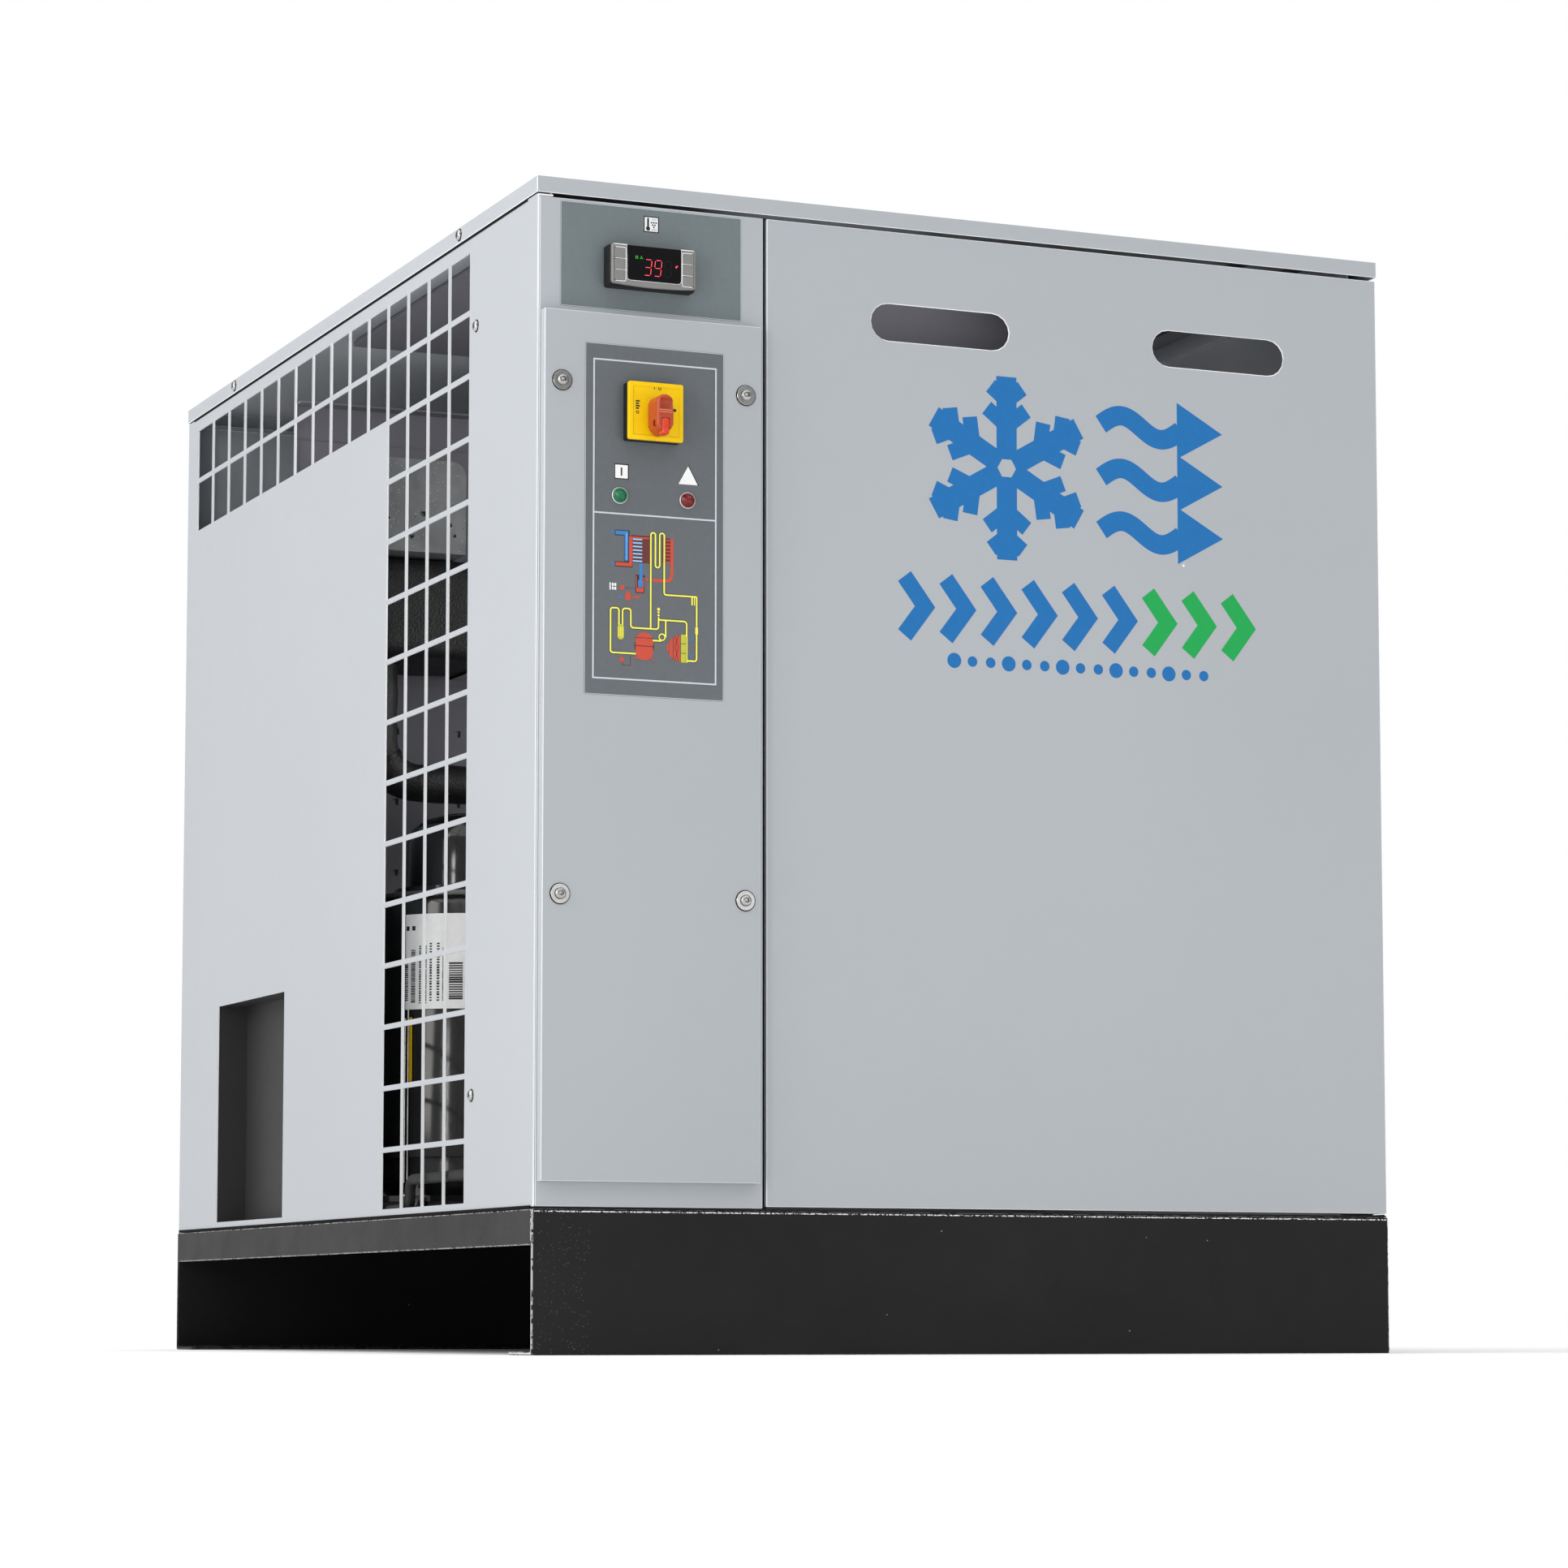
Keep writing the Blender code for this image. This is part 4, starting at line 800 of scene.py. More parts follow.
def draw_air_circuit(plane):
    """The air side of the flow picture: cold pipe, warm pipe, exchanger and separator."""
    warm_body = Print(plane)
    warm_body.rect(79.8, 644.4, 96.0, 667.2)
    warm_body.rect(107.0, 646.0, 115.0, 666.4)
    warm_body.line([(84.4, 623.2), (71.9, 623.2)], 0.35)
    warm_body.line([(72.4, 562.6), (72.4, 559.4), (79.4, 559.4), (79.4, 567.0)], 0.5)
    warm_body.build("flow_dark_red", INK_MAROON, 0.06)

    outline = Print(plane)
    outline.line([(65.6, 668.4), (76.0, 668.4), (76.0, 645.0)], 4.6)
    outline.line([(65.6, 642.4), (79.0, 642.4), (79.0, 666.6)], 4.2)
    outline.rect(83.6, 619.6, 91.6, 634.4)
    outline.disc(91.5, 575.9, 8.6)
    outline.build("flow_outlines", INK_BLACK, 0.05)

    red = Print(plane - 0.06 * MM)
    red.line([(66.0, 642.4), (79.4, 642.4), (79.4, 666.0)], 2.9)
    red.line([(79.4, 665.2), (95.6, 665.2)], 1.2)
    for tooth in range(7):
        level = 664.6 - tooth * 3.0
        red.line([(110.0, level), (115.0, level)], 0.9)
    red.line([(115.6, 666.4), (115.6, 630.9), (98.6, 630.9)], 2.6, bend=5.0)
    red.disc(93.6, 631.2, 1.3)
    red.rect(84.2, 620.2, 90.9, 624.0)
    red.line([(84.4, 624.0), (84.4, 633.6)], 0.9)
    red.line([(90.7, 624.0), (90.7, 633.0)], 0.9)
    red.disc(71.9, 623.2, 2.1)
    red.area([(74.6, 613.2), (79.6, 613.2), (79.2, 618.2), (77.9, 620.2), (76.2, 620.2),
              (74.9, 618.2)])
    red.line([(80.2, 616.2), (82.0, 614.8), (84.0, 617.0), (86.0, 615.2), (88.0, 618.0)], 1.0)
    red.build("flow_warm_air", INK_RED, INK)

    fins = Print(plane - 0.06 * MM)
    for row in range(7):
        level = 663.8 - row * 3.0
        fins.line([(81.2, level), (89.4, level)], 1.2)
    fins.line([(75.6, 668.4), (75.6, 646.0)], 0.5)
    fins.build("flow_exchanger_fins", INK_SKY, INK + 0.04)

    blue = Print(plane - 0.06 * MM)
    blue.line([(66.0, 668.4), (75.6, 668.4), (75.6, 645.6)], 3.2)
    blue.line([(88.3, 644.0), (88.3, 629.0)], 2.9)
    blue.rect(85.8, 624.4, 90.0, 630.4)
    for u, v in ((62.7, 669.0), (63.6, 642.0), (70.2, 615.4), (132.7, 584.0), (132.7, 570.6)):
        blue.area([(u - 0.9, v - 1.7), (u + 0.7, v - 1.2), (u + 1.1, v), (u + 0.7, v + 1.2),
                   (u - 0.9, v + 1.7), (u - 0.2, v)])
    blue.build("flow_cold_air", INK_BLUE, INK)

    white = Print(plane)
    white.rect(61.0, 620.8, 62.0, 626.8)
    for row in range(2):
        for column in range(2):
            low = (63.0 + column * 2.2, 621.0 + row * 3.1)
            white.rect(low[0], low[1], low[0] + 1.6, low[1] + 2.4)
    white.build("flow_switch_sign", INK_WHITE, INK)


REFRIGERANT_LINES = (
    ([(97.0, 590.8), (97.0, 670.2), (101.0, 670.2), (101.0, 641.6), (104.8, 641.6),
      (104.8, 670.2), (108.8, 670.2), (108.8, 619.4), (137.5, 619.4)], 1.9),
    ([(133.4, 619.8), (133.4, 612.2)], 0.0),
    ([(137.5, 619.4), (137.5, 566.0), (129.0, 566.0)], 2.0),
    ([(84.0, 569.3), (61.9, 569.3), (61.9, 606.1), (69.2, 606.1), (69.2, 592.0)], 2.0),
    ([(72.4, 592.0), (72.4, 606.1), (79.6, 606.1), (79.6, 590.6), (103.9, 590.6),
      (103.9, 600.6)], 2.2),
    ([(104.6, 598.4), (128.7, 598.4), (128.7, 586.0)], 2.6),
    ([(110.2, 598.0), (110.2, 584.3)], 0.0),
    ([(106.4, 581.1), (99.0, 581.1)], 0.0),
)


def draw_refrigerant_circuit(plane):
    """The refrigerant side: coil, capillary, filter, compressor, condenser and fan."""
    edge, yellow = Print(plane), Print(plane - 0.14 * MM)
    for target, width in ((edge, 2.15), (yellow, 1.35)):
        for corners, bend in REFRIGERANT_LINES:
            target.line(corners, width, bend=bend)
        target.ring(107.0, 584.3, 2.6, width * 0.8)
        target.ring(70.8, 586.4, 0.1, width)
    yellow.line([(135.5, 619.4), (135.5, 612.2)], 0.9)
    for row in range(3):
        yellow.disc(103.9, 602.2 + row * 2.5, 0.95 if row < 2 else 1.3, 12)
    yellow.rect(136.3, 588.5, 138.7, 594.0)
    edge.build("flow_pipe_edges", INK_BLACK, 0.14)
    yellow.build("flow_refrigerant", INK_YELLOW, 0.08)

    lime, thin = Print(plane - 0.14 * MM), Print(plane - 0.26 * MM)
    lime.plate(70.8, 586.6, 5.6, 12.6, 2.7, 6)
    for row in range(3):
        low = 564.4 + row * 7.9
        lime.rect(123.7, low, 128.0, low + 7.3)
    lime.build("flow_condenser_and_filter", INK_LIME, 0.12)
    for step in range(3):
        thin.line([(69.2 + step * 1.6, 582.4), (69.2 + step * 1.6, 591.0)], 0.55)
    thin.line([(128.9, 564.4), (128.9, 587.4)], 1.0)
    thin.build("flow_highlights", INK_YELLOW, 0.05)

    red = Print(plane - 0.05 * MM)
    red.plate(91.5, 575.8, 15.4, 22.8, 7.0, 8)
    red.area([(113.6, 569.4), (116.6, 567.0), (122.9, 564.2), (122.9, 587.4), (116.6, 584.6),
              (113.6, 582.0)])
    red.rect(111.2, 573.0, 113.0, 578.8)
    red.disc(71.9, 564.0, 2.0)
    red.line([(82.6, 565.4), (85.6, 566.4)], 1.2)
    red.line([(97.6, 566.6), (100.0, 564.6)], 1.0)
    red.build("flow_compressor_and_fan", INK_RED, 0.15)
    dark = Print(plane - 0.2 * MM)
    dark.line([(83.9, 582.8), (99.1, 582.8)], 0.5)
    dark.line([(83.9, 576.0), (99.1, 576.0)], 0.7)
    dark.line([(116.8, 566.9), (116.8, 584.7)], 0.5)
    dark.line([(118.4, 586.0), (121.4, 577.0), (118.4, 566.0)], 0.5)
    dark.line([(121.6, 586.6), (118.4, 577.0), (121.6, 565.2)], 0.5)
    dark.build("flow_dark_marks", INK_MAROON, 0.05)


# ------------------------------------------------------------------ front picture sign
def snowflake(target, u, v, reach, width):
    """Six arms, each with two pairs of short branches."""
    for arm in range(6):
        angle = math.radians(30 + 60 * arm)
        way = Vector((math.cos(angle), math.sin(angle)))
        centre = Vector((u, v))
        target.line([centre + way * width * 0.4, centre + way * reach], width)
        for share, length in ((0.46, 0.30), (0.74, 0.24)):
            joint = centre + way * reach * share
            for side in (-1, 1):
                turn_way = Matrix.Rotation(math.radians(52) * side, 2) @ way
                target.line([joint, joint + turn_way * reach * length], width * 0.72)


def flow_wave(target, left, v, length, rise, width):
    """One long wave that ends in an arrow head."""
    run = length - width * 2.4
    steps = 36
    points = [(left + run * n / steps, v + rise * math.sin(2 * math.pi * n / steps))
              for n in range(steps + 1)]
    target.line(points, width)
    tip = left + length
    root = tip - width * 2.6
    target.area([(root, v - width * 1.45), (tip, v), (root, v + width * 1.45)])


def make_front_sign():
    """A plain sign for cold, dry air in the two print colours: snowflake, waves and chevrons."""
    blue, green = Print(PANEL_FACE), Print(PANEL_FACE)
    snowflake(blue, 426.0, 750.0, 79.0, 19.0)
    for row in range(3):
        flow_wave(blue, 516.0, 795.0 - row * 46.0, 118.0, 9.0, 17.0)
    pitch, tall, reach, bar = 38.4, 50.0, 19.0, 15.0
    left, middle = 330.0, 626.0
    for number in range(9):
        target = green if number > 5 else blue
        start = left + number * pitch
        target.line([(start, middle + tall / 2), (start + reach, middle),
                     (start, middle - tall / 2)], bar)
    dot, count = 9.0, 15
    for number in range(count):
        blue.disc(376.0 + number * 17.0, 582.0, dot / 2 if number % 3 else dot * 0.72)
    blue.build("front_sign_blue", PRINT_BLUE, 0.1, "front_panel")
    green.build("front_sign_green", PRINT_GREEN, 0.1, "front_panel")


# ------------------------------------------------------------------ controller
def cut_boxes(target, name, boxes):
    """Cut boxes out of a piece."""
    mesh = bmesh.new()
    for low, high in boxes:
        add_box(mesh, low, high)
    cut_with(target, name, mesh)


def cut_with(target, name, mesh):
    """Cut a bmesh out of a finished piece, then remove the helper."""
    bmesh.ops.recalc_face_normals(mesh, faces=mesh.faces)
    data = bpy.data.meshes.new(name)
    mesh.to_mesh(data)
    mesh.free()
    helper = add_object(name, data)
    step = target.modifiers.new(name, "BOOLEAN")
    step.operation = "DIFFERENCE"
    step.solver = "EXACT"
    step.object = helper
    graph = bpy.context.evaluated_depsgraph_get()
    result = bpy.data.meshes.new_from_object(target.evaluated_get(graph))
    target.modifiers.remove(step)
    target.data = result
    bpy.data.objects.remove(helper, do_unlink=True)


def sagging(width, height, radius, sag):
    """Outline of the controller's front: round corners and a lower edge that bows down."""
    edge = width / 2 - radius

    def outline(inset):
        points = []
        for x, z in rounded_rect(width, height - sag, radius, 6, inset):
            points.append((x, z + sag / 2))
            at_bottom = abs(z + (height - sag) / 2 - inset) < 1e-6
            if x < 0 and at_bottom and abs(x + edge) < 1e-6:
                for step in range(1, 12):
                    across = -edge + 2 * edge * step / 12
                    drop = sag * (1 - (across / edge) ** 2)
                    points.append((across, z + sag / 2 - drop))
        return points
    return outline


def window_shape(width, height, room=0.0, rise=0.0):
    """Square above and round below, as the display's opening is."""
    def outline(inset):
        shape = rounded_rect(width + 2 * room, height + 2 * room, 3.2, 5, inset)
        return [(x, z) if z < 0 else (math.copysign(width / 2 + room - inset, x),
                                      height / 2 + room - inset + rise)
                for number, (x, z) in enumerate(shape) if z < 0 or number % 6 == 2]
    return outline


def make_controller():
    u, v, width, height, _, face, back = front_box("controller_body")
    depth = (COLUMN_FACE - face) / MM
    skin = 3.5                   # thickness of the silver front
    room = 0.3                   # clearance round the window and the keys
    key_travel = 0.8
    case = bmesh.new()
    stack(case, (u, v, COLUMN_FACE), rounded_plate(width, height, 2.6),
          [(0.6, 0.35), (0.0, 0.7), (0.0, depth - skin - 3.0), (1.4, depth - skin - 0.1)])
    add_box(case, front_point(u - width / 2 + 3.0, v - height / 2 + 3.0, COLUMN_FACE + 0.0002),
            front_point(u + width / 2 - 3.0, v + height / 2 - 3.0, back))
    back_piece = piece("controller_back", case, BLACK_PLASTIC, bevel=0.0003)
    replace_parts(back_piece, "controller_body")

    bezel = stacked("controller_bezel", GREY_PLASTIC, (u, v, COLUMN_FACE),
                    sagging(width - 3.0, height, 2.4, 1.5),
                    [(0.6, depth - skin), (0.0, depth - skin + 0.5), (0.0, depth - 1.1),
                     (0.3, depth - 0.4), (0.9, depth)])
    opening = bmesh.new()
    u, v, width, height, _, _, back = front_box("controller_window")
    stack(opening, (u, v, back + room * MM), window_shape(width, height, room, 10.0),
          [(0.0, 0.0), (0.0, 12.0)])
    cut_with(bezel, "window_opening", opening)
    gap = Vector((room, 0.0, room)) * MM
    for number in range(1, 7):
        low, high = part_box("key_%d" % number)
        low.y, high.y = face - 0.01, high.y + (room + key_travel) * MM
        cut_boxes(bezel, "key_pocket", [(low - gap, high + gap)])
    round_edges(bezel, 0.00025, 40)
    make_display()
    make_key_highlights()


def make_display():
    u, v, width, height, thick, face, back = front_box("controller_window")
    window = stacked("display_window", WINDOW, (u, v, back), window_shape(width, height),
                     [(0.0, 0.0), (0.0, thick - 0.4), (0.5, thick)], smooth=30)
    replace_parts(window, "controller_window")
    lit, dim, green = Print(face), Print(face), Print(face)
    for place, digit in ((-5.6, 3), (3.2, 9), (12.0, None)):
        seven_segments(dim if digit is None else lit, u + place, v - 3.2, digit)
    lit.area([(u + 18.8, v - 1.7), (u + 19.7, v - 1.7), (u + 19.9, v - 0.6), (u + 20.9, v - 0.4),
              (u + 20.8, v + 0.4), (u + 19.1, v + 0.3)])
    lit.build("display_digits", DIGIT_RED, 0.05)
    dim.build("display_unlit_digit", DIGIT_DIM, 0.05)
    for column in range(2):
        for row in range(3):
            left, low = u - 16.6 + column * 1.3, v + 3.4 + row * 0.9
            green.rect(left, low, left + 0.9, low + 0.6)
    hub = Vector((u - 11.4, v + 4.4))
    for way in around(3, turned=0.75):
        green.line([hub + Vector(way) * 0.3, hub + Vector(way) * 1.4], 0.65)
    green.build("display_symbols", DIGIT_GREEN, 0.05)


SEGMENTS = {3: "abgcd", 9: "abcdfg", None: "abcdefg"}


def seven_segments(target, u, v, digit):
    """A slanted seven-segment digit; None draws every segment."""
    wide, tall, bar, lean = 5.8, 6.6, 0.52, 0.10
    ends = {"a": ((0, 2), (1, 2)), "b": ((1, 2), (1, 1)), "c": ((1, 1), (1, 0)),
            "d": ((0, 0), (1, 0)), "e": ((0, 1), (0, 0)), "f": ((0, 2), (0, 1)),
            "g": ((0, 1), (1, 1))}
    for name in SEGMENTS[digit]:
        corners = []
        for column, row in ends[name]:
            z = (row - 1) * tall
            corners.append(Vector((u + (column - 0.5) * wide + z * lean, v + z)))
        way = (corners[1] - corners[0]).normalized() * 0.75
        target.line([corners[0] + way, corners[1] - way], bar)


def make_key_highlights():
    """Raised pale lines round each column of three keys and round the window, and a bar along the
    bezel's top: painted highlights on its rims.
    """
    _, v, _, height, _, face, _ = front_box("controller_body")
    top = v + height / 2
    marks = Print(face)
    # Pale lines round each column of keys: painted highlights.
    for first, side in ((1, 1), (4, -1)):
        keys = [front_box("key_%d" % number) for number in range(first, first + 3)]
        u, _, width, *_ = keys[0]
        inner, outer = u + side * (width / 2 + 0.75), u - side * (width / 2 - 0.8)
        feet = sorted(key[1] - key[3] / 2 for key in keys)
        head, foot = max(key[1] + key[3] / 2 for key in keys) + 0.55, feet[0] - 0.55
        marks.line([(outer, head), (inner, head), (inner, foot), (outer, foot)], 0.62, bend=1.3)
        for level in feet[1:]:
            marks.line([(outer - side * 0.4, level - 0.5), (inner, level - 0.5)], 0.56)
            marks.disc(inner, level - 0.5, 0.55, 12)
        # A painted highlight along the bezel's top edge.
        marks.rect(min(outer, inner) - 1.4, top - 1.35, max(outer, inner) + 1.2, top - 0.75)
    u, v, width, height, *_ = front_box("controller_window")
    reach, low = width / 2 + 0.45, v - height / 2 - 0.45
    # A painted highlight round the window.
    marks.line([(u - reach, top - 1.0), (u - reach, low), (u + reach, low),
                (u + reach, top - 1.0)], 0.28, bend=3.4)
    marks.build("key_marks", INK_WHITE, 0.18)


# ------------------------------------------------------------------ main switch
def make_switch():
    u, v, side, _, depth, face, back = front_box("switch_plate")
    split = 8.8                  # thickness of the black part behind the yellow front
    square = rounded_plate(side, side, 1.6)
    base = stacked("switch_base", BLACK_PLASTIC, (u, v, back), square,
                   [(0.3, 0.0), (0.0, 0.4), (0.0, split - 0.3), (0.4, split)], smooth=30)
    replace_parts(base, "switch_plate")
    stacked("switch_front", YELLOW_PLASTIC, (u, v, back), square,
            [(0.3, split), (0.0, split + 0.3), (0.0, depth - 0.9), (0.5, depth - 0.4),
             (3.3, depth - 0.1), (3.7, depth - 0.1), (3.9, depth - 0.5), (4.2, depth - 0.5)],
            smooth=25)
    marks = Print(face + 0.5 * MM)
    marks.line([(u - 1.6, v + 18.2), (u - 1.6, v + 20.6)], 0.7)
    marks.ring(u + 3.0, v + 19.2, 1.1, 0.6)
    marks.ring(u - 16.4, v - 1.6, 1.1, 0.6)
    for bar in range(4):
        low = v + 1.0 + bar * 2.0
        marks.rect(u - 18.0, low, u - 15.2 + (bar % 2) * 0.8, low + 1.2)
    marks.disc(u + 16.4, v + 2.2, 1.35)
    edge = side / 2 - 3.9
    for far in ((u - edge, v + edge), (u + edge, v - edge)):
        marks.line([(u - edge, v - edge), far], 0.22)
    marks.build("switch_marks", INK_BLACK, 0.06)
    make_knob(u)
    make_lock_tab(u)


def knob_outline(length, width):
    """Round at the top, a blunt point at the bottom; a function of the inset."""
    shoulder = -length / 2 + width * 0.50

    def outline(inset):
        radius = width / 2 - inset
        top = length / 2 - width / 2
        points = []
        for step in range(15):
            across, up = polar(math.pi * step / 14, radius)
            points.append((across, top + up))
        side = [(radius, shoulder), (radius * 0.72, shoulder - width * 0.24),
                (radius * 0.20, -length / 2 + inset + 0.2)]
        return points + [(-x, z) for x, z in side] + side[::-1]
    return outline


def make_knob(u):
    """The turning handle: a hollowed front, a padlock hole and two finger ridges."""
    _, v, width, length, depth, front, back = front_box("switch_knob")
    knob = stacked("knob_shell", ORANGE_PLASTIC, (u, v, back), knob_outline(length, width),
                   [(0.6, 0.0), (0.0, 0.8), (0.2, depth - 2.0), (0.7, depth - 0.7), (1.6, depth)],
                   "switch_knob")
    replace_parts(knob, "switch_knob")
    hollows = bmesh.new()
    for across, up, behind, radius, length in ((4.6, 8.2, -0.8, 0.0043, 0.0150),
                                               (width, -7.4, 7.6, 0.0030, 2 * width * MM)):
        turn(hollows, front_point(u - across, v + up, front + behind * MM), (1, 0, 0),
             [(radius, 0.0), (radius, length)], 24)
    low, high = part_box("lock_tab")
    room = 0.0004
    add_box(hollows, (low.x - room, front - 0.01, low.z - 0.01),
            (high.x + room, high.y + room, high.z + room))
    cut_with(knob, "knob_hollows", hollows)
    round_edges(knob, 0.0004, 38)
    ribs = bmesh.new()
    for level in (2.6, 0.9):
        stack(ribs, (u, v + level, front), rounded_plate(width - 3.6, 0.8, 0.3, 3),
              [(0.0, -0.4), (0.0, 0.25), (0.2, 0.45)])
    piece("knob_ribs", ribs, KNOB_PALE, "switch_knob", smooth=40)


def make_lock_tab(u):
    _, v, wide, tall, depth, _, back = front_box("lock_tab")
    mesh = bmesh.new()
    stack(mesh, (u, v, back), rounded_plate(wide, tall, 1.2),
          [(0.2, 0.0), (0.0, 0.3), (0.0, depth - 1.6), (0.5, depth - 1.1), (1.3, depth - 0.9)])
    stack(mesh, (u, v - tall / 2 + 2.2, back), rounded_plate(wide - 0.6, 4.0, 1.6),
          [(0.0, depth - 1.8), (0.0, depth - 0.5), (0.6, depth)])
    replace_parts(piece("lock_tab_body", mesh, RED_PLASTIC, "lock_tab", smooth=32), "lock_tab")


# ------------------------------------------------------------------ lamps and screws
def make_lamps():
    for name, material in (("green_lamp", GREEN_LENS), ("red_lamp", RED_LENS)):
        u, v, width, *_ = front_box(name)
        place = front_point(u, v, COVER_FACE)
        radius = width / 2 * MM
        lens_piece = turned(name + "_lens", material, place, FRONT,
                            [(0.0054, -0.018), (0.0054, 0.0005), (0.0058, 0.0008),
                             (0.0058, 0.0026), (0.0050, 0.0036), (0.0046, 0.0034),
                             (0.0036, 0.0046), (0.0032, 0.0044), (0.0020, 0.0055),
                             (0.0006, 0.0059)], 36, smooth=28)
        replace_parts(lens_piece, name)
        turned(name + "_ring", ALUMINIUM, place, FRONT,
               [(radius - 0.0004, 0.0003), (radius, 0.0006), (radius, 0.0012),
                (radius - 0.0004, 0.0016), (0.0061, 0.0016), (0.0060, 0.0004)])


def screw_head(mesh, seat, outward, radius, height, washer):
    """A domed head with a deep six-sided socket, on a washer where it has one."""
    head, lift = radius, 0.0
    profile = [(radius, 0.0)]
    if washer:
        head, lift = radius * 0.60, 0.0009
        profile = [(radius * 0.98, 0.0), (radius, 0.0002), (radius, lift - 0.0002),
                   (radius * 0.97, lift), (head * 1.05, lift), (head * 1.05, lift - 0.0003),
                   (head, lift - 0.0003)]
    for step in range(5):
        across, up = polar(math.radians(14 + 15 * step))
        profile.append((head * (0.42 + 0.58 * across), lift + (height - lift) * up))
    top = profile[-1][1]
    socket = head * 0.42
    profile += [(socket, top, True), (socket * 0.97, top - 0.0002, True),
                (socket * 0.9, max(0.0004, top - 0.0024), True),
                (socket * 0.3, max(0.0002, top - 0.0029), True)]
    turn(mesh, seat, outward, profile, 36)


def make_screws():
    """Heads and shanks of the screws that the CAD model has, and a flat black ring round each seat
    that is a painted shadow.
    """
    for name in nodes:
        stem = name.split("_screw_")[0]
        if stem not in ("cover", "lid", "side") or "_screw_" not in name:
            continue
        low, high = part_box(name)
        seat = (low + high) / 2
        washer = stem == "cover"
        if washer:
            way = Vector(FRONT)
            seat.y = COVER_FACE
        elif stem == "side":
            way = Vector((-1, 0, 0))
            seat.x = SIDE_FACE
        else:
            way = Vector((-1 if seat.x < 0 else 1, 0, 0))
            seat.x = LID_LOW.x if seat.x < 0 else LID_HIGH.x
        seat += way * 0.0003
        radius = (high.z - low.z) / 2
        mesh = bmesh.new()
        screw_head(mesh, seat, way, radius, 0.0040 if washer else 0.0027, washer)
        turn(mesh, seat - way * 0.0004, -way, [(0.0024, 0.0), (0.0024, 0.009), (0.0016, 0.010)],
             12)
        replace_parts(piece(name + "_head", mesh, SCREW_STEEL, smooth=35), name)
        # A flat black ring round the seat: a painted shadow.
        turned(name + "_seal", SHADOW_BLACK, seat - way * 0.0002, way,
               [(radius + 0.0007, 0.0), (radius + 0.0006, 0.0005), (radius - 0.0008, 0.0006)],
               36, smooth=None)


# ------------------------------------------------------------------ refrigeration side
def make_compressor_details():
    low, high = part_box("compressor")
    centre = Vector(((low.x + high.x) / 2, (low.y + high.y) / 2, 0.0))
    radius = 0.0825
    wrap_label(centre, radius)
    lugs = bmesh.new()
    for side in (-1, 1):
        for end in (-1, 1):
            turn(lugs, centre + Vector((side * 0.076, end * 0.076, 0.1370)), UP,
                 [(0.011, 0.0), (0.011, 0.0015), (0.0065, 0.0016), (0.0065, 0.0070, True),
                  (0.0040, 0.0072), (0.0040, 0.0160), (0.0020, 0.0170)], 24)
    piece("compressor_mount_bolts", lugs, STEEL, smooth=30)
    turned("compressor_weld_flange", ENAMEL_RIM, centre + Vector((0, 0, 0.405)), UP,
           [(0.0790, 0.0), (0.0828, 0.0010), (0.0835, 0.0030), (0.0828, 0.0050),
            (0.0735, 0.0066), (0.0690, 0.0066)], 64)
    turned("crankcase_heater_band", RUBBER, centre + Vector((0, 0, 0.172)), UP,
           [(0.0826, 0.0), (0.0848, 0.0006), (0.0848, 0.0114), (0.0826, 0.0120)], 64)
    turned("compressor_service_stub", COPPER, centre + Vector((0.018, -0.012, high.z - 0.006)), UP,
           [(0.012, 0.0), (0.010, 0.006), (0.005, 0.008), (0.005, 0.020), (0.0062, 0.021),
            (0.0062, 0.027), (0.003, 0.029)], 24, smooth=35)
    rods = bmesh.new()
    for angle, z_high, thick in ((212.6, 0.304, 0.0008), (210.2, 0.296, 0.0007)):
        foot = centre + Vector((*polar(math.radians(angle), radius + 0.004), 0.150))
        tube(rods, [foot, Vector((foot.x, foot.y, z_high))], thick, 10)
    piece("sensor_rods", rods, STEEL, smooth=60)


# Columns of bars on the compressor's label: first and last angle, foot, top and pitch.
LABEL_BARS = ((-153.2, -150.0, 0.312, 0.349, 0.0017), (-147.6, -144.4, 0.310, 0.357, 0.0014),
              (-141.6, -136.2, 0.309, 0.360, 0.0021), (-134.2, -127.6, 0.311, 0.362, 0.0024),
              (-125.8, -123.6, 0.311, 0.358, 0.0015), (-121.6, -113.0, 0.312, 0.345, 0.0021),
              (-104.0, -92.0, 0.312, 0.370, 0.0024))


def wrap_label(centre, radius):
    """A paper label round the shell, with plain rules in place of any print."""
    def patch(name, material, first, last, low, high, lift=0.0002, thick=0.00015):
        steps = max(1, int(abs(last - first) / 4))
        grid = []
        for step in range(steps + 1):
            angle = math.radians(first + (last - first) * step / steps)
            grid.append([centre + Vector((*polar(angle, radius + out), z))
                         for z, out in ((low, lift), (high, lift), (high, lift + thick),
                                        (low, lift + thick))])
        mesh = bmesh.new()
        skin_rings(mesh, grid)
        piece(name, mesh, material, smooth=30)

    def rule(first, last, low, high):
        nonlocal number
        number += 1
        patch("compressor_label_rule_%02d" % number, INK_BLACK, first, last, low, high,
              0.00036, 0.00005)

    patch("compressor_label", PAPER, -152.3, -58.0, 0.304, 0.389)
    patch("compressor_strip", YELLOW_PLASTIC, -149.6, -146.6, 0.240, 0.297)
    number = 0
    for first, last, height, end, pitch in LABEL_BARS:
        while height < end:
            rule(first, last, height, height + pitch * random.uniform(0.5, 0.88))
            height += pitch
    for first in (-151.6, -147.0):
        rule(first, first + 2.5, 0.3745, 0.3785)


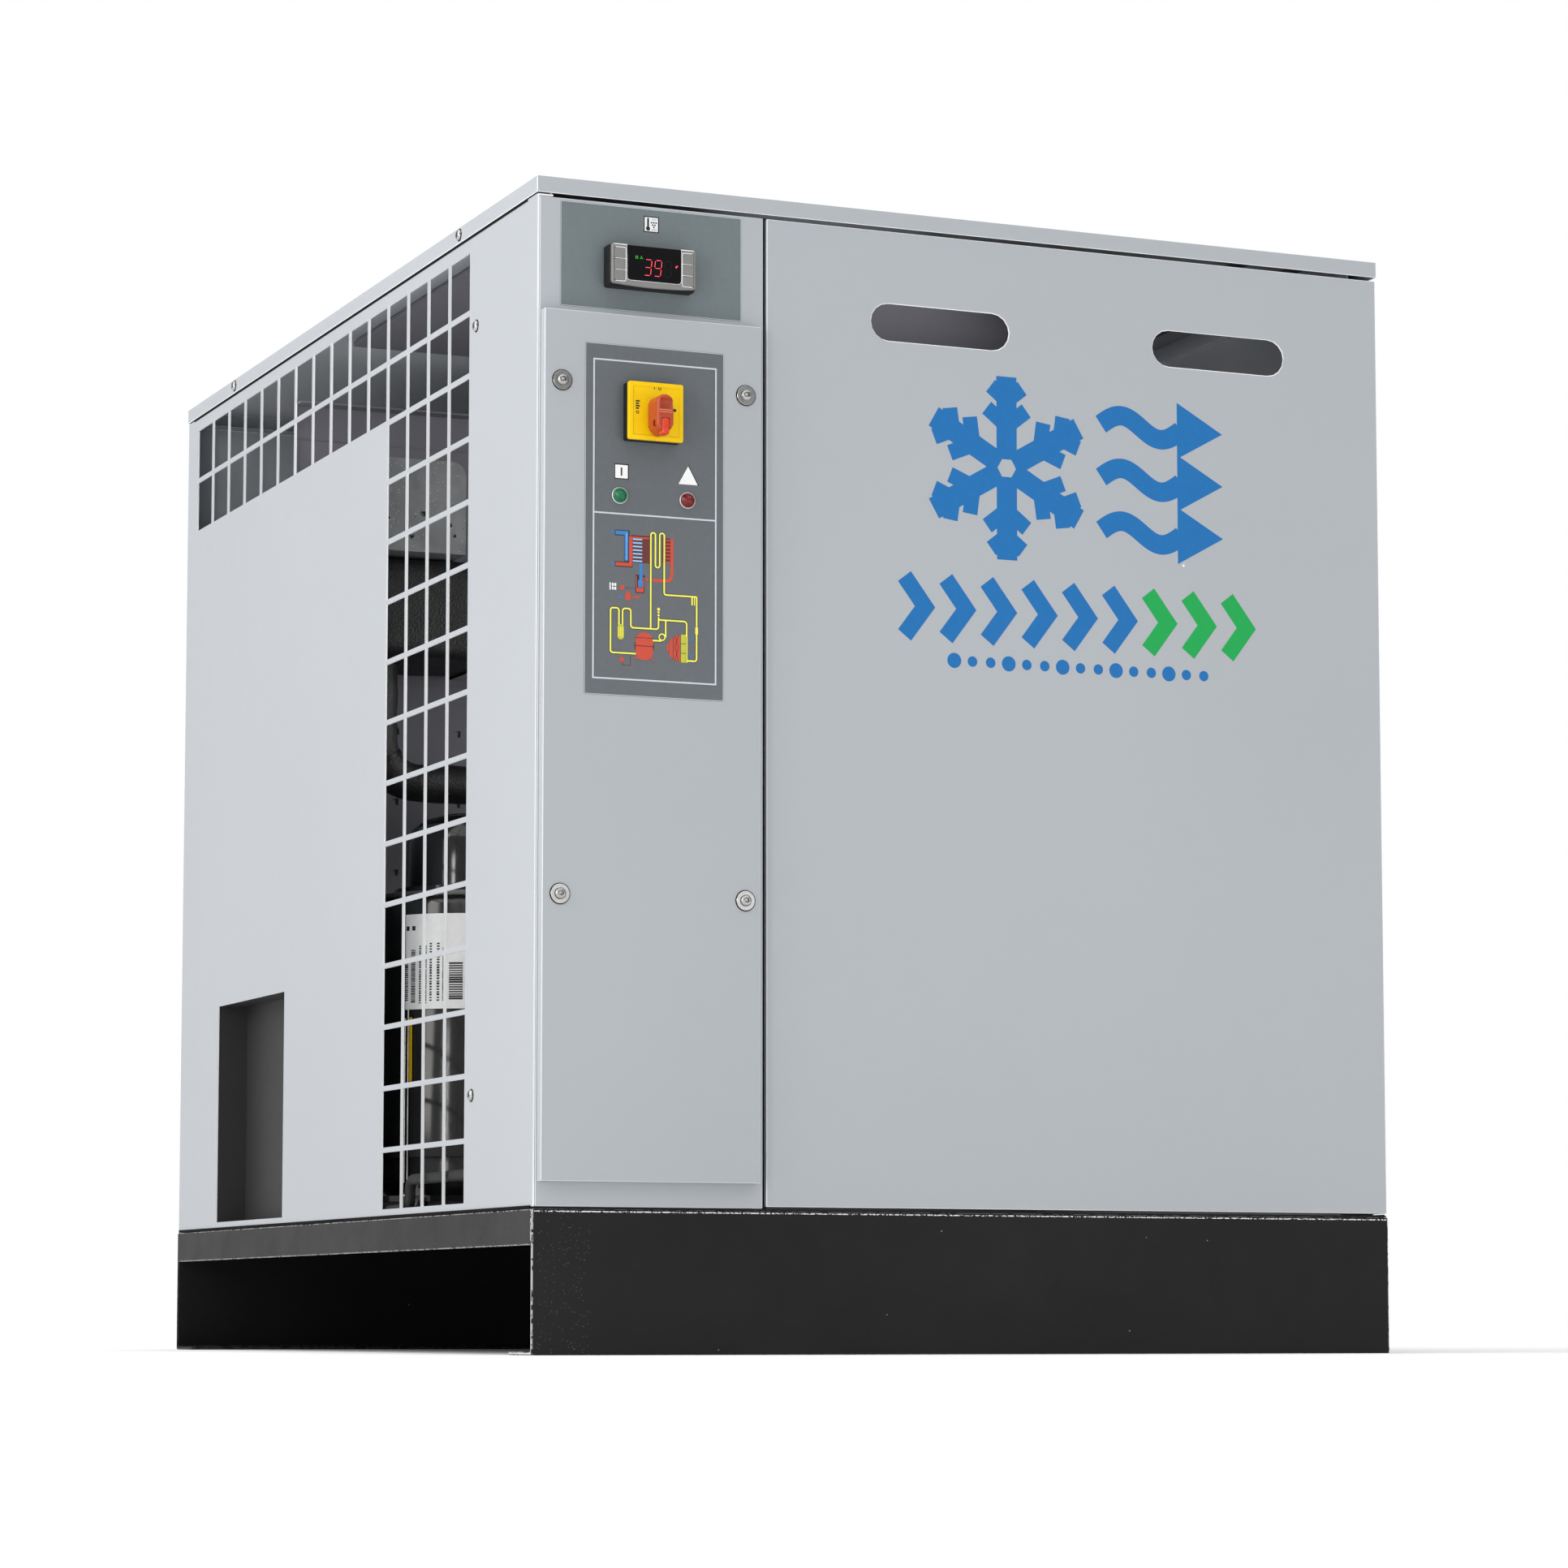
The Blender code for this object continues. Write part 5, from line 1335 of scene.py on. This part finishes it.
def make_fan_details():
    """Guard rings and spokes before the blades, and cooling ribs on the motor."""
    low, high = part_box("fan_blades")
    middle = (low + high) / 2
    hub = Vector((low.x - 0.006, middle.y, middle.z))
    guard = bmesh.new()
    for radius in (0.060, 0.086, 0.112, 0.138, 0.164, 0.190):
        circle = around(56, radius)
        tube(guard, [hub + Vector((0.0, y, z)) for y, z in circle + circle[:1]], 0.0013, 6)
    start = hub - Vector((0.0026, 0.0, 0.0))
    for y, z in around(8, turned=0.5):
        way = Vector((0.0, y, z))
        tube(guard, [start + way * 0.052, start + way * 0.202], 0.0018, 8)
    piece("fan_guard", guard, BLACK_COAT, smooth=60)
    motor_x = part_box("fan_motor")[0].x
    ribs = bmesh.new()
    for y, z in around(20):
        way, across = Vector((0.0, y, z)), Vector((0.0, -z, y))
        skin_rings(ribs, [[Vector((x, middle.y, middle.z)) + way * reach + across * side
                           for reach, side in ((0.042, -0.0012), (0.0475, -0.0008),
                                               (0.0475, 0.0008), (0.042, 0.0012))]
                          for x in (motor_x + 0.008, motor_x + 0.062)])
    piece("fan_motor_ribs", ribs, BLACK_PLASTIC)


def make_condenser():
    """Finned coil: plate fins, two rows of straight tubes and a folded casing."""
    low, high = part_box("condenser")
    pitch, edge, rows, wall = 0.0040, 0.012, 18, 0.0012
    fins = bmesh.new()
    for number in range(int((high.y - low.y - 2 * edge) / pitch)):
        y = low.y + edge + pitch * (number + 0.5)
        add_box(fins, (low.x + 0.002, y - 0.00016, low.z + 0.004),
                (high.x - 0.002, y + 0.00016, high.z - 0.004))
    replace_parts(piece("condenser_fins", fins, ALUMINIUM), "condenser")

    tubes = bmesh.new()
    for row in range(rows):
        z = low.z + 0.022 + (high.z - low.z - 0.044) * row / (rows - 1)
        for x in (low.x + 0.012, high.x - 0.012):
            tube(tubes, [Vector((x, y, z)) for y in (low.y + 0.004, high.y - 0.004)], 0.0048, 10)
    piece("condenser_tubes", tubes, COPPER, smooth=60)

    casing = bmesh.new()
    inner_low, inner_high = low.y + wall, high.y - wall
    for corner, far in ((low, (high.x, inner_low, high.z)),
                        ((low.x, inner_high, low.z), high),
                        ((low.x, inner_low, low.z), (high.x, inner_high, low.z + wall)),
                        ((low.x, inner_low, high.z - wall), (high.x, inner_high, high.z)),
                        ((high.x - wall, inner_low, low.z + wall),
                         (high.x, low.y + 0.010, high.z - wall)),
                        ((high.x - wall, high.y - 0.010, low.z + wall),
                         (high.x, inner_high, high.z - wall))):
        add_box(casing, corner, far)
    piece("condenser_casing", casing, GALVANISED)


# ------------------------------------------------------------------ foam-covered parts
def foam_block(name, low, high, radius, ripple, step=0.010, material=FOAM):
    """A block with well-rounded edges and a slightly uneven wrapped surface."""
    mesh = bmesh.new()
    size = high - low
    add_box(mesh, low, high)
    for axis in range(3):
        cuts = max(2, int(size[axis] / step))
        normal = Vector(grey(0.0))
        normal[axis] = 1.0
        for cut in range(1, cuts):
            point = low.copy()
            point[axis] += size[axis] * cut / cuts
            everything = mesh.verts[:] + mesh.edges[:] + mesh.faces[:]
            bmesh.ops.bisect_plane(mesh, geom=everything, plane_co=point, plane_no=normal)
    inner_low = low + Vector((radius,) * 3)
    inner_high = high - Vector((radius,) * 3)
    for vertex in mesh.verts:
        core = Vector([min(max(vertex.co[n], inner_low[n]), inner_high[n]) for n in range(3)])
        way = vertex.co - core
        if way.length > 1e-6:
            way.normalize()
            wave = noise.noise(vertex.co * 22.0) * 0.7 + noise.noise(vertex.co * 60.0) * 0.3
            vertex.co = core + way * (radius - ripple * (0.5 + 0.5 * wave))
    return piece(name, mesh, material, smooth=60)


def make_exchanger():
    low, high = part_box("heat_exchanger")
    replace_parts(foam_block("exchanger_foam", low, high, 0.016, 0.0035, 0.008), "heat_exchanger")
    straps = bmesh.new()
    outline = rounded_rect((high.y - low.y) / MM + 0.6, (high.z - low.z) / MM + 0.6, 16.0, 6)
    middle = (low + high) / 2
    for x in (low.x + 0.14, low.x + 0.33, high.x - 0.10):
        loops = [[Vector((x + half, middle.y + a * MM * grow, middle.z + b * MM * grow))
                  for a, b in outline]
                 for half, grow in ((-0.006, 1.0), (-0.006, 1.0072), (0.006, 1.0072), (0.006, 1.0))]
        skin_rings(straps, loops + loops[:1], closed_ends=False)
    bmesh.ops.remove_doubles(straps, verts=straps.verts, dist=1e-6)
    piece("exchanger_straps", straps, ALUMINIUM, smooth=30)


def make_bracket():
    """Spangled plate above the exchanger, with round upper corners and its fixings."""
    low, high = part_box("exchanger_bracket")
    thick, radius = 0.0020, 0.014
    corners = [(low.x, low.z), (high.x, low.z)]
    for x, quarter in ((high.x - radius, 0), (low.x + radius, 1)):
        for step in range(7):
            across, up = polar(math.pi / 2 * (quarter + step / 6), radius)
            corners.append((x + across, high.z - radius + up))
    plate = bmesh.new()
    skin_rings(plate, [[Vector((x, y, z)) for x, z in corners] for y in (low.y, low.y + thick)])
    add_box(plate, (low.x, low.y + thick, low.z), (high.x, high.y, low.z + thick))
    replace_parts(piece("bracket_plate", plate, BRACKET_METAL), "exchanger_bracket")
    rivets = bmesh.new()
    for across, up, size in ((0.30, 0.34, 0.0026), (0.52, 0.16, 0.0022), (0.62, 0.42, 0.0030),
                             (0.86, 0.30, 0.0026), (0.90, 0.20, 0.0018), (0.22, 0.74, 0.0018)):
        place = (low.x + across * (high.x - low.x), low.y, low.z + up * (high.z - low.z))
        turn(rivets, place, FRONT, [(size, 0.0), (size, 0.0004), (size * 0.6, 0.0012)], 20)
    piece("bracket_rivets", rivets, RAIL_COAT, smooth=30)


def make_inner_sheets():
    """Folded sheets that close the bay behind the compressor, with their punched holes."""
    bulk_low, bulk_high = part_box("bulkhead")
    foam_low, foam_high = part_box("heat_exchanger")
    left = SIDE_FACE + 0.004
    y = bulk_high.y - 0.0039
    sheet = bmesh.new()
    for right, low, high in ((0.020, bulk_low.z + 0.002, foam_low.z - 0.004),
                             (0.320, foam_high.z + 0.004, bulk_high.z - 0.035)):
        add_box(sheet, (left, y, low), (right, y + 0.0012, high))
    holes = []
    for column in range(4):
        for row in range(7):
            x = SIDE_FACE + 0.040 + column * 0.062
            z = bulk_low.z + 0.060 + row * 0.068
            holes.append(((x, y - 0.01, z), (x + 0.006, y + 0.01, z + 0.006)))
    cut_boxes(piece("inner_sheet", sheet, INNER_COAT), "inner_sheet_holes", holes)


def make_lid_lining():
    """Dimpled foam under the lid and two stiffening rails, seen through the hand slots."""
    low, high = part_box("lid")
    under = high.z - 0.0015
    # The foam gets the pale inner grey rather than the dark foam colour: painted light on its
    # downward face.
    foam_block("lid_foam", Vector((low.x + 0.050, low.y + 0.060, under - 0.0085)),
               Vector((0.240, 0.130, under)), 0.004, 0.0016, 0.020, INNER_COAT)
    rails = bmesh.new()
    for x in (0.275, 0.330):
        outline = [(x, 0.0), (x, 0.012), (x + 0.0012, 0.012), (x + 0.0012, 0.0012),
                   (x + 0.016, 0.0012), (x + 0.016, 0.0)]
        skin_rings(rails, [[Vector((a, y, under - drop)) for a, drop in outline]
                           for y in (low.y + 0.040, high.y - 0.050)])
    piece("lid_rails", rails, DARK_SHEET)


def insulated(name, node, route, bend, radius):
    """Foam hose over a copper line, with ties; it stands for the plain CAD tube."""
    points = rounded_route(route, bend, 10)
    fine = []
    for near, far in zip(points, points[1:]):
        parts = max(1, int((far - near).length / 0.008))
        fine.extend(near.lerp(far, part / parts) for part in range(parts))
    fine.append(points[-1])
    mesh = bmesh.new()
    tube(mesh, fine, radius, 24)
    for vertex in mesh.verts:
        waves = [noise.noise(vertex.co * 45.0 + Vector(shift))
                 for shift in ((0, 0, 0), (9, 0, 0), (0, 9, 0))]
        vertex.co += Vector(waves) * 0.0012
    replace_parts(piece(name, mesh, FOAM, smooth=60), node)
    ties = bmesh.new()
    total = sum((far - near).length for near, far in zip(fine, fine[1:]))
    travelled, wanted = 0.0, 0.09
    for near, far in zip(fine, fine[1:]):
        travelled += (far - near).length
        if travelled > wanted and wanted < total - 0.05:
            wanted += 0.15
            turn(ties, near, far - near, [(radius * 0.96, 0.0), (radius + 0.0012, 0.0006),
                                          (radius + 0.0012, 0.0044), (radius * 0.96, 0.005)], 28)
    piece(name + "_ties", ties, BLACK_PLASTIC, smooth=30)


def make_hoses():
    low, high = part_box("compressor")
    centre = (low + high) / 2
    x, y, top = -0.335, 0.070, 0.530
    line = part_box("suction_pipe")[1].x - 0.018
    foot = 0.220
    insulated("suction_hose", "suction_pipe",
              [(x, y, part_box("heat_exchanger")[0].z - 0.0003), (x, y, top), (line, y, top),
               (line, centre.y, top), (line, centre.y, foot), (centre.x + 0.0835, centre.y, foot)],
              0.040, 0.018)
    conduits = bmesh.new()
    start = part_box("terminal_box")[0] + Vector((0.018, -0.001, 0.022))
    drop = start.z - 0.145
    tube(conduits, rounded_route([start, start + Vector((0, -0.045, 0)),
                                  (start.x, start.y - 0.045, drop), (start.x, -0.3605, drop)],
                                 0.022, 6), 0.0065, 14)
    x = SIDE_FACE + 0.0080
    tube(conduits, rounded_route([(x, -0.360, 0.150), (x, -0.190, 0.150), (x, -0.190, 0.1245),
                                  (x, 0.130, 0.1245), (x + 0.020, 0.148, 0.1245)], 0.010, 6),
         0.0048, 12)
    piece("wiring_conduits", conduits, RUBBER, smooth=60)
    capillary = bmesh.new()
    coil = Vector((-0.232, -0.150, 0.628))
    turns, steps = 4, 24
    loops = [coil + Vector((a, b, step * 0.00014))
             for step, (a, b) in enumerate(around(steps, 0.026) * turns)]
    loops.append(coil + Vector((0.026, 0.0, turns * steps * 0.00014)))
    tube(capillary, loops, 0.0016, 8)
    tube(capillary, [coil - Vector((0, 0, 0.024)), coil - Vector((0, 0, 0.012)),
                     coil + Vector((0.026, 0, 0))], 0.0016, 8)
    piece("capillary_coil", capillary, COPPER, smooth=60)


def make_filter():
    """Filter dryer: a shiny can with seams, solder stubs and a clamp."""
    low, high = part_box("filter_dryer")
    centre = Vector(((low.x + high.x) / 2, (low.y + high.y) / 2, low.z))
    tall = high.z - low.z
    half = [(0.0070, 0.0), (0.0100, 0.0010), (0.0100, 0.0080), (0.0180, 0.0110),
            (0.0290, 0.0160), (0.0320, 0.0200), (0.0320, 0.0225), (0.0312, 0.0232)]
    can = turned("filter_can", CAN_METAL, centre, UP,
                 half + [(radius, tall - up) for radius, up in half[::-1]], 48)
    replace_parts(can, "filter_dryer")
    turned("filter_clamp", STEEL, centre + Vector((0, 0, 0.034)), UP,
           [(0.0313, 0.0), (0.0327, 0.0004), (0.0327, 0.0086), (0.0313, 0.0090)], 48)


def make_front_lining():
    """Foam pad and snap fittings on the back of the front panel; they lift off with it."""
    low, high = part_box("front_panel")
    back = PANEL_FACE + 0.0017
    pad = foam_block("front_panel_foam", Vector((low.x + 0.030, back, low.z + 0.030)),
                     Vector((high.x - 0.030, back + 0.0100, high.z - 0.110)), 0.004, 0.0012, 0.030)
    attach(pad, "front_panel")
    snaps = bmesh.new()
    for x in (low.x + 0.012, high.x - 0.012):
        for z in (low.z + 0.020, high.z - 0.030):
            turn(snaps, (x, back, z), REAR,
                 [(0.0055, 0.0), (0.0055, 0.003), (0.0030, 0.004), (0.0030, 0.010),
                  (0.0042, 0.0125), (0.0038, 0.0155), (0.0015, 0.0170)], 20)
    piece("front_panel_snaps", snaps, STEEL, "front_panel", smooth=35)


def make_seams():
    """Black strips in the joints between lid, panels and base as painted shadow, and a painted
    sparkle highlight along the base's top edge.
    """
    # The black strips in the joints stand for the shadow there.
    shadow_strips = bmesh.new()
    column_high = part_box("control_column")[1]
    panel_low, panel_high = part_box("front_panel")
    sheet = abs(SIDE_FACE)
    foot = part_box("base_left_rail")[1].z + 0.0002
    for side in (-1, 1):
        for near, far, front, rear, low, high in (
                (0.0005, -0.0015, -0.500, 0.503, column_high.z + 0.0006, column_high.z + 0.0027),
                (0.0009, 0.0002, -0.519, 0.521, foot, foot + 0.0026)):
            inner, outer = sorted((side * (sheet + near), side * (sheet + far)))
            add_box(shadow_strips, (inner, front, low), (outer, rear, high))
    add_box(shadow_strips, (-0.392, PANEL_FACE + 0.0015, foot), (0.392, PANEL_FACE + 0.0065, foot + 0.0016))
    add_box(shadow_strips, (column_high.x + 0.0002, PANEL_FACE + 0.0040, panel_low.z),
            (panel_low.x - 0.0006, PANEL_FACE + 0.0090, panel_high.z))
    piece("joint_shadow_strips", shadow_strips, SHADOW_BLACK)
    # A painted sparkle highlight in dashes along the beam's top edge.
    line = bmesh.new()
    low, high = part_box("base_front_beam")
    add_box(line, (low.x + 0.002, low.y - 0.00012, high.z - 0.0024),
            (high.x - 0.002, low.y + 0.0002, high.z - 0.0014))
    piece("beam_painted_sparkle_line", line, PAINTED_SPARKLE_LINE)


# ------------------------------------------------------------------ rear and right side
def make_rear_details():
    screws = bmesh.new()
    low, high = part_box("rear_panel")
    size = high - low
    spots = [(x, low.z + size.z * share) for x in (low.x + 0.010, high.x - 0.010)
             for share in (0.05, 0.35, 0.65, 0.95)]
    spots += [(low.x + size.x * share, z) for share in (0.33, 0.67)
              for z in (low.z + 0.012, high.z - 0.012)]
    for x, z in spots:
        screw_head(screws, (x, REAR_FACE, z), REAR, 0.0062, 0.0034, True)
    piece("rear_screws", screws, STEEL, smooth=35)

    screws = bmesh.new()
    low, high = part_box("right_side_panel")
    for y in (low.y + 0.014, 0.180, high.y - 0.016):
        for z in (low.z + 0.060, 0.867):
            screw_head(screws, (RIGHT_FACE, y, z), (1, 0, 0), 0.0050, 0.0027, False)
    piece("right_side_screws", screws, STEEL, smooth=35)

    for name in ("air_inlet_pipe", "air_outlet_pipe"):
        make_socket(name)
    make_gland()
    make_arrows()
    make_drain()
    make_plate()


def make_socket(name):
    """Pipe socket with grooves outside, a thread inside and a rubber ring at the sheet."""
    low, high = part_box(name)
    centre = Vector(((low.x + high.x) / 2, 0.0, (low.z + high.z) / 2))
    bore, wall, collar = 0.0262, 0.03015, 0.0365
    profile = [(bore, low.y), (wall, low.y), (wall, 0.5295), (collar - 0.001, 0.5320),
               (collar, 0.5335)]
    for groove in range(3):
        y = 0.540 + groove * 0.009
        profile += [(collar, y), (collar - 0.0008, y + 0.0008), (collar - 0.0008, y + 0.0022),
                    (collar, y + 0.0030)]
    mouth, pitch, threads = high.y - 0.0012, 0.0023, 9
    profile += [(collar, mouth), (collar - 0.0012, high.y), (bore + 0.0012, high.y)]
    for thread in range(threads):
        profile += [(bore, mouth - thread * pitch), (bore + 0.0011, mouth - (thread + 0.5) * pitch)]
    profile.append((bore, mouth - threads * pitch))
    socket = turned(name + "_socket", GALVANISED, centre, REAR, profile, 56, hollow=True)
    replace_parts(socket, name)
    inner = wall + 0.0002
    turned(name + "_seal", RUBBER, centre, REAR,
           [(inner, REAR_FACE + 0.0001), (inner + 0.0053, REAR_FACE + 0.0001),
            (inner + 0.0048, REAR_FACE + 0.0026), (inner, REAR_FACE + 0.0034)], 48, hollow=True)


def make_gland():
    low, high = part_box("cable_gland")
    profile = [(0.0060, low.y), (0.0108, low.y), (0.0108, 0.5243), (0.0138, 0.5243, True),
               (0.0140, 0.5250, True), (0.0140, 0.5352, True), (0.0132, 0.5360, True),
               (0.0118, 0.5361), (0.0118, 0.5370), (0.0126, 0.5372, True), (0.0126, 0.5440, True),
               (0.0112, 0.5480), (0.0088, high.y), (0.0060, high.y)]
    centre = ((low.x + high.x) / 2, 0.0, (low.z + high.z) / 2)
    gland = turned("gland_body", BLACK_PLASTIC, centre, REAR, profile, 48, hollow=True)
    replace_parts(gland, "cable_gland")


def rear_shape(mesh, points, thick, base=0.0):
    """A flat shape on the rear sheet, in metres across and up."""
    skin_rings(mesh, [[Vector((x, REAR_FACE + out, z)) for x, z in points]
                      for out in (base, base + thick)])


def rear_rect(mesh, left, right, low, high, thick, base=0.0):
    rear_shape(mesh, [(left, low), (right, low), (right, high), (left, high)], thick, base)


def make_arrows():
    """Plain arrows beside the pipes: into the dryer and out of it."""
    for name, sign, material in (("air_inlet_pipe", -1, PRINT_GREEN),
                                 ("air_outlet_pipe", 1, PRINT_BLUE)):
        low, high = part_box(name)
        x = (low.x + high.x) / 2
        tip = sign * 0.024
        mesh = bmesh.new()
        rear_shape(mesh, [(x + across, high.z + 0.045 + tip * share) for across, share in
                          ((-0.006, -0.9), (0.006, -0.9), (0.006, 0.1), (0.016, 0.1), (0.0, 1.0),
                           (-0.016, 0.1), (-0.006, 0.1))], 0.0002)
        piece("arrow_at_" + name, mesh, material)


def make_drain():
    """Vinyl sleeve and nut on the drain lever."""
    low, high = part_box("drain_lever")
    middle = (low + high) / 2
    wide, tall = [(high[axis] - low[axis]) / 2 / MM + 1.4 for axis in (1, 2)]
    rings = []
    for back, shrink in ((0.052, 0.5), (0.051, 0.0), (0.002, 0.0), (0.0005, 0.4)):
        rings.append([Vector((high.x - back, middle.y + a * MM, middle.z + b * MM)) for a, b in
                      rounded_rect(2 * (wide - shrink), 2 * (tall - shrink), 1.6, 4)])
    sleeve = bmesh.new()
    skin_rings(sleeve, rings)
    piece("drain_lever_sleeve", sleeve, RED_PLASTIC, "drain_lever", smooth=30)
    turned("drain_lever_nut", STEEL, (0.0, middle.y, high.z + 0.0002), UP,
           [(0.0062, 0.0, True), (0.0066, 0.0004, True), (0.0066, 0.0030, True),
            (0.0058, 0.0036, True), (0.0035, 0.0037), (0.0035, 0.0050), (0.0015, 0.0054)], 24)


def make_plate():
    """A blank rating plate: aluminium with plain ruled lines and two rivets."""
    left, right, bottom, top, thick = -0.335, -0.235, 0.760, 0.825, 0.0006
    plate, rules, rivets = bmesh.new(), bmesh.new(), bmesh.new()
    rear_rect(plate, left, right, bottom, top, thick)
    for row in range(5):
        z = bottom + 0.010 + row * 0.0105
        rear_rect(rules, left + 0.008, right - 0.008, z, z + 0.0006, 0.0001, thick)
    for x in (left + 0.005, right - 0.005):
        turn(rivets, (x, REAR_FACE + thick, (bottom + top) / 2), REAR,
             [(0.0022, 0.0), (0.0020, 0.0006), (0.0010, 0.0010)], 16)
    piece("rating_plate", plate, ALUMINIUM, bevel=0.0002)
    piece("rating_plate_rules", rules, INK_BLACK)
    piece("rating_plate_rivets", rivets, STEEL, smooth=40)


# ------------------------------------------------------------------ everything in its place
make_stage()
dress_cad()
make_upper_label()
make_lower_label()
draw_air_circuit(COVER_FACE - LABEL_THICK)
draw_refrigerant_circuit(COVER_FACE - LABEL_THICK)
make_front_sign()
make_controller()
make_switch()
make_lamps()
make_screws()
make_front_lining()
make_compressor_details()
make_fan_details()
make_condenser()
make_exchanger()
make_bracket()
make_inner_sheets()
make_lid_lining()
make_hoses()
make_filter()
make_seams()
make_rear_details()
sun_light("overhead", (0.0, 0.05, -1.0), 2.3, 100.0)
area_light("key_left", (-3.6, -0.3, 1.9), (-0.4, 0.0, 0.5), (2.6, 2.6), 75.0, (1.0, 0.97, 0.94))
area_light("strip_left", (-2.55, -2.10, 0.85), (-0.34, -0.10, 0.46), (0.35, 1.2), 12.0)
area_light("front_fill", (1.2, -3.6, 0.5), (0.1, -0.5, 0.4), (2.0, 1.0), 9.0)
area_light("inner_fill", (0.15, -0.32, 0.60), (-0.30, 0.05, 0.55), (0.30, 0.50), 2.2)
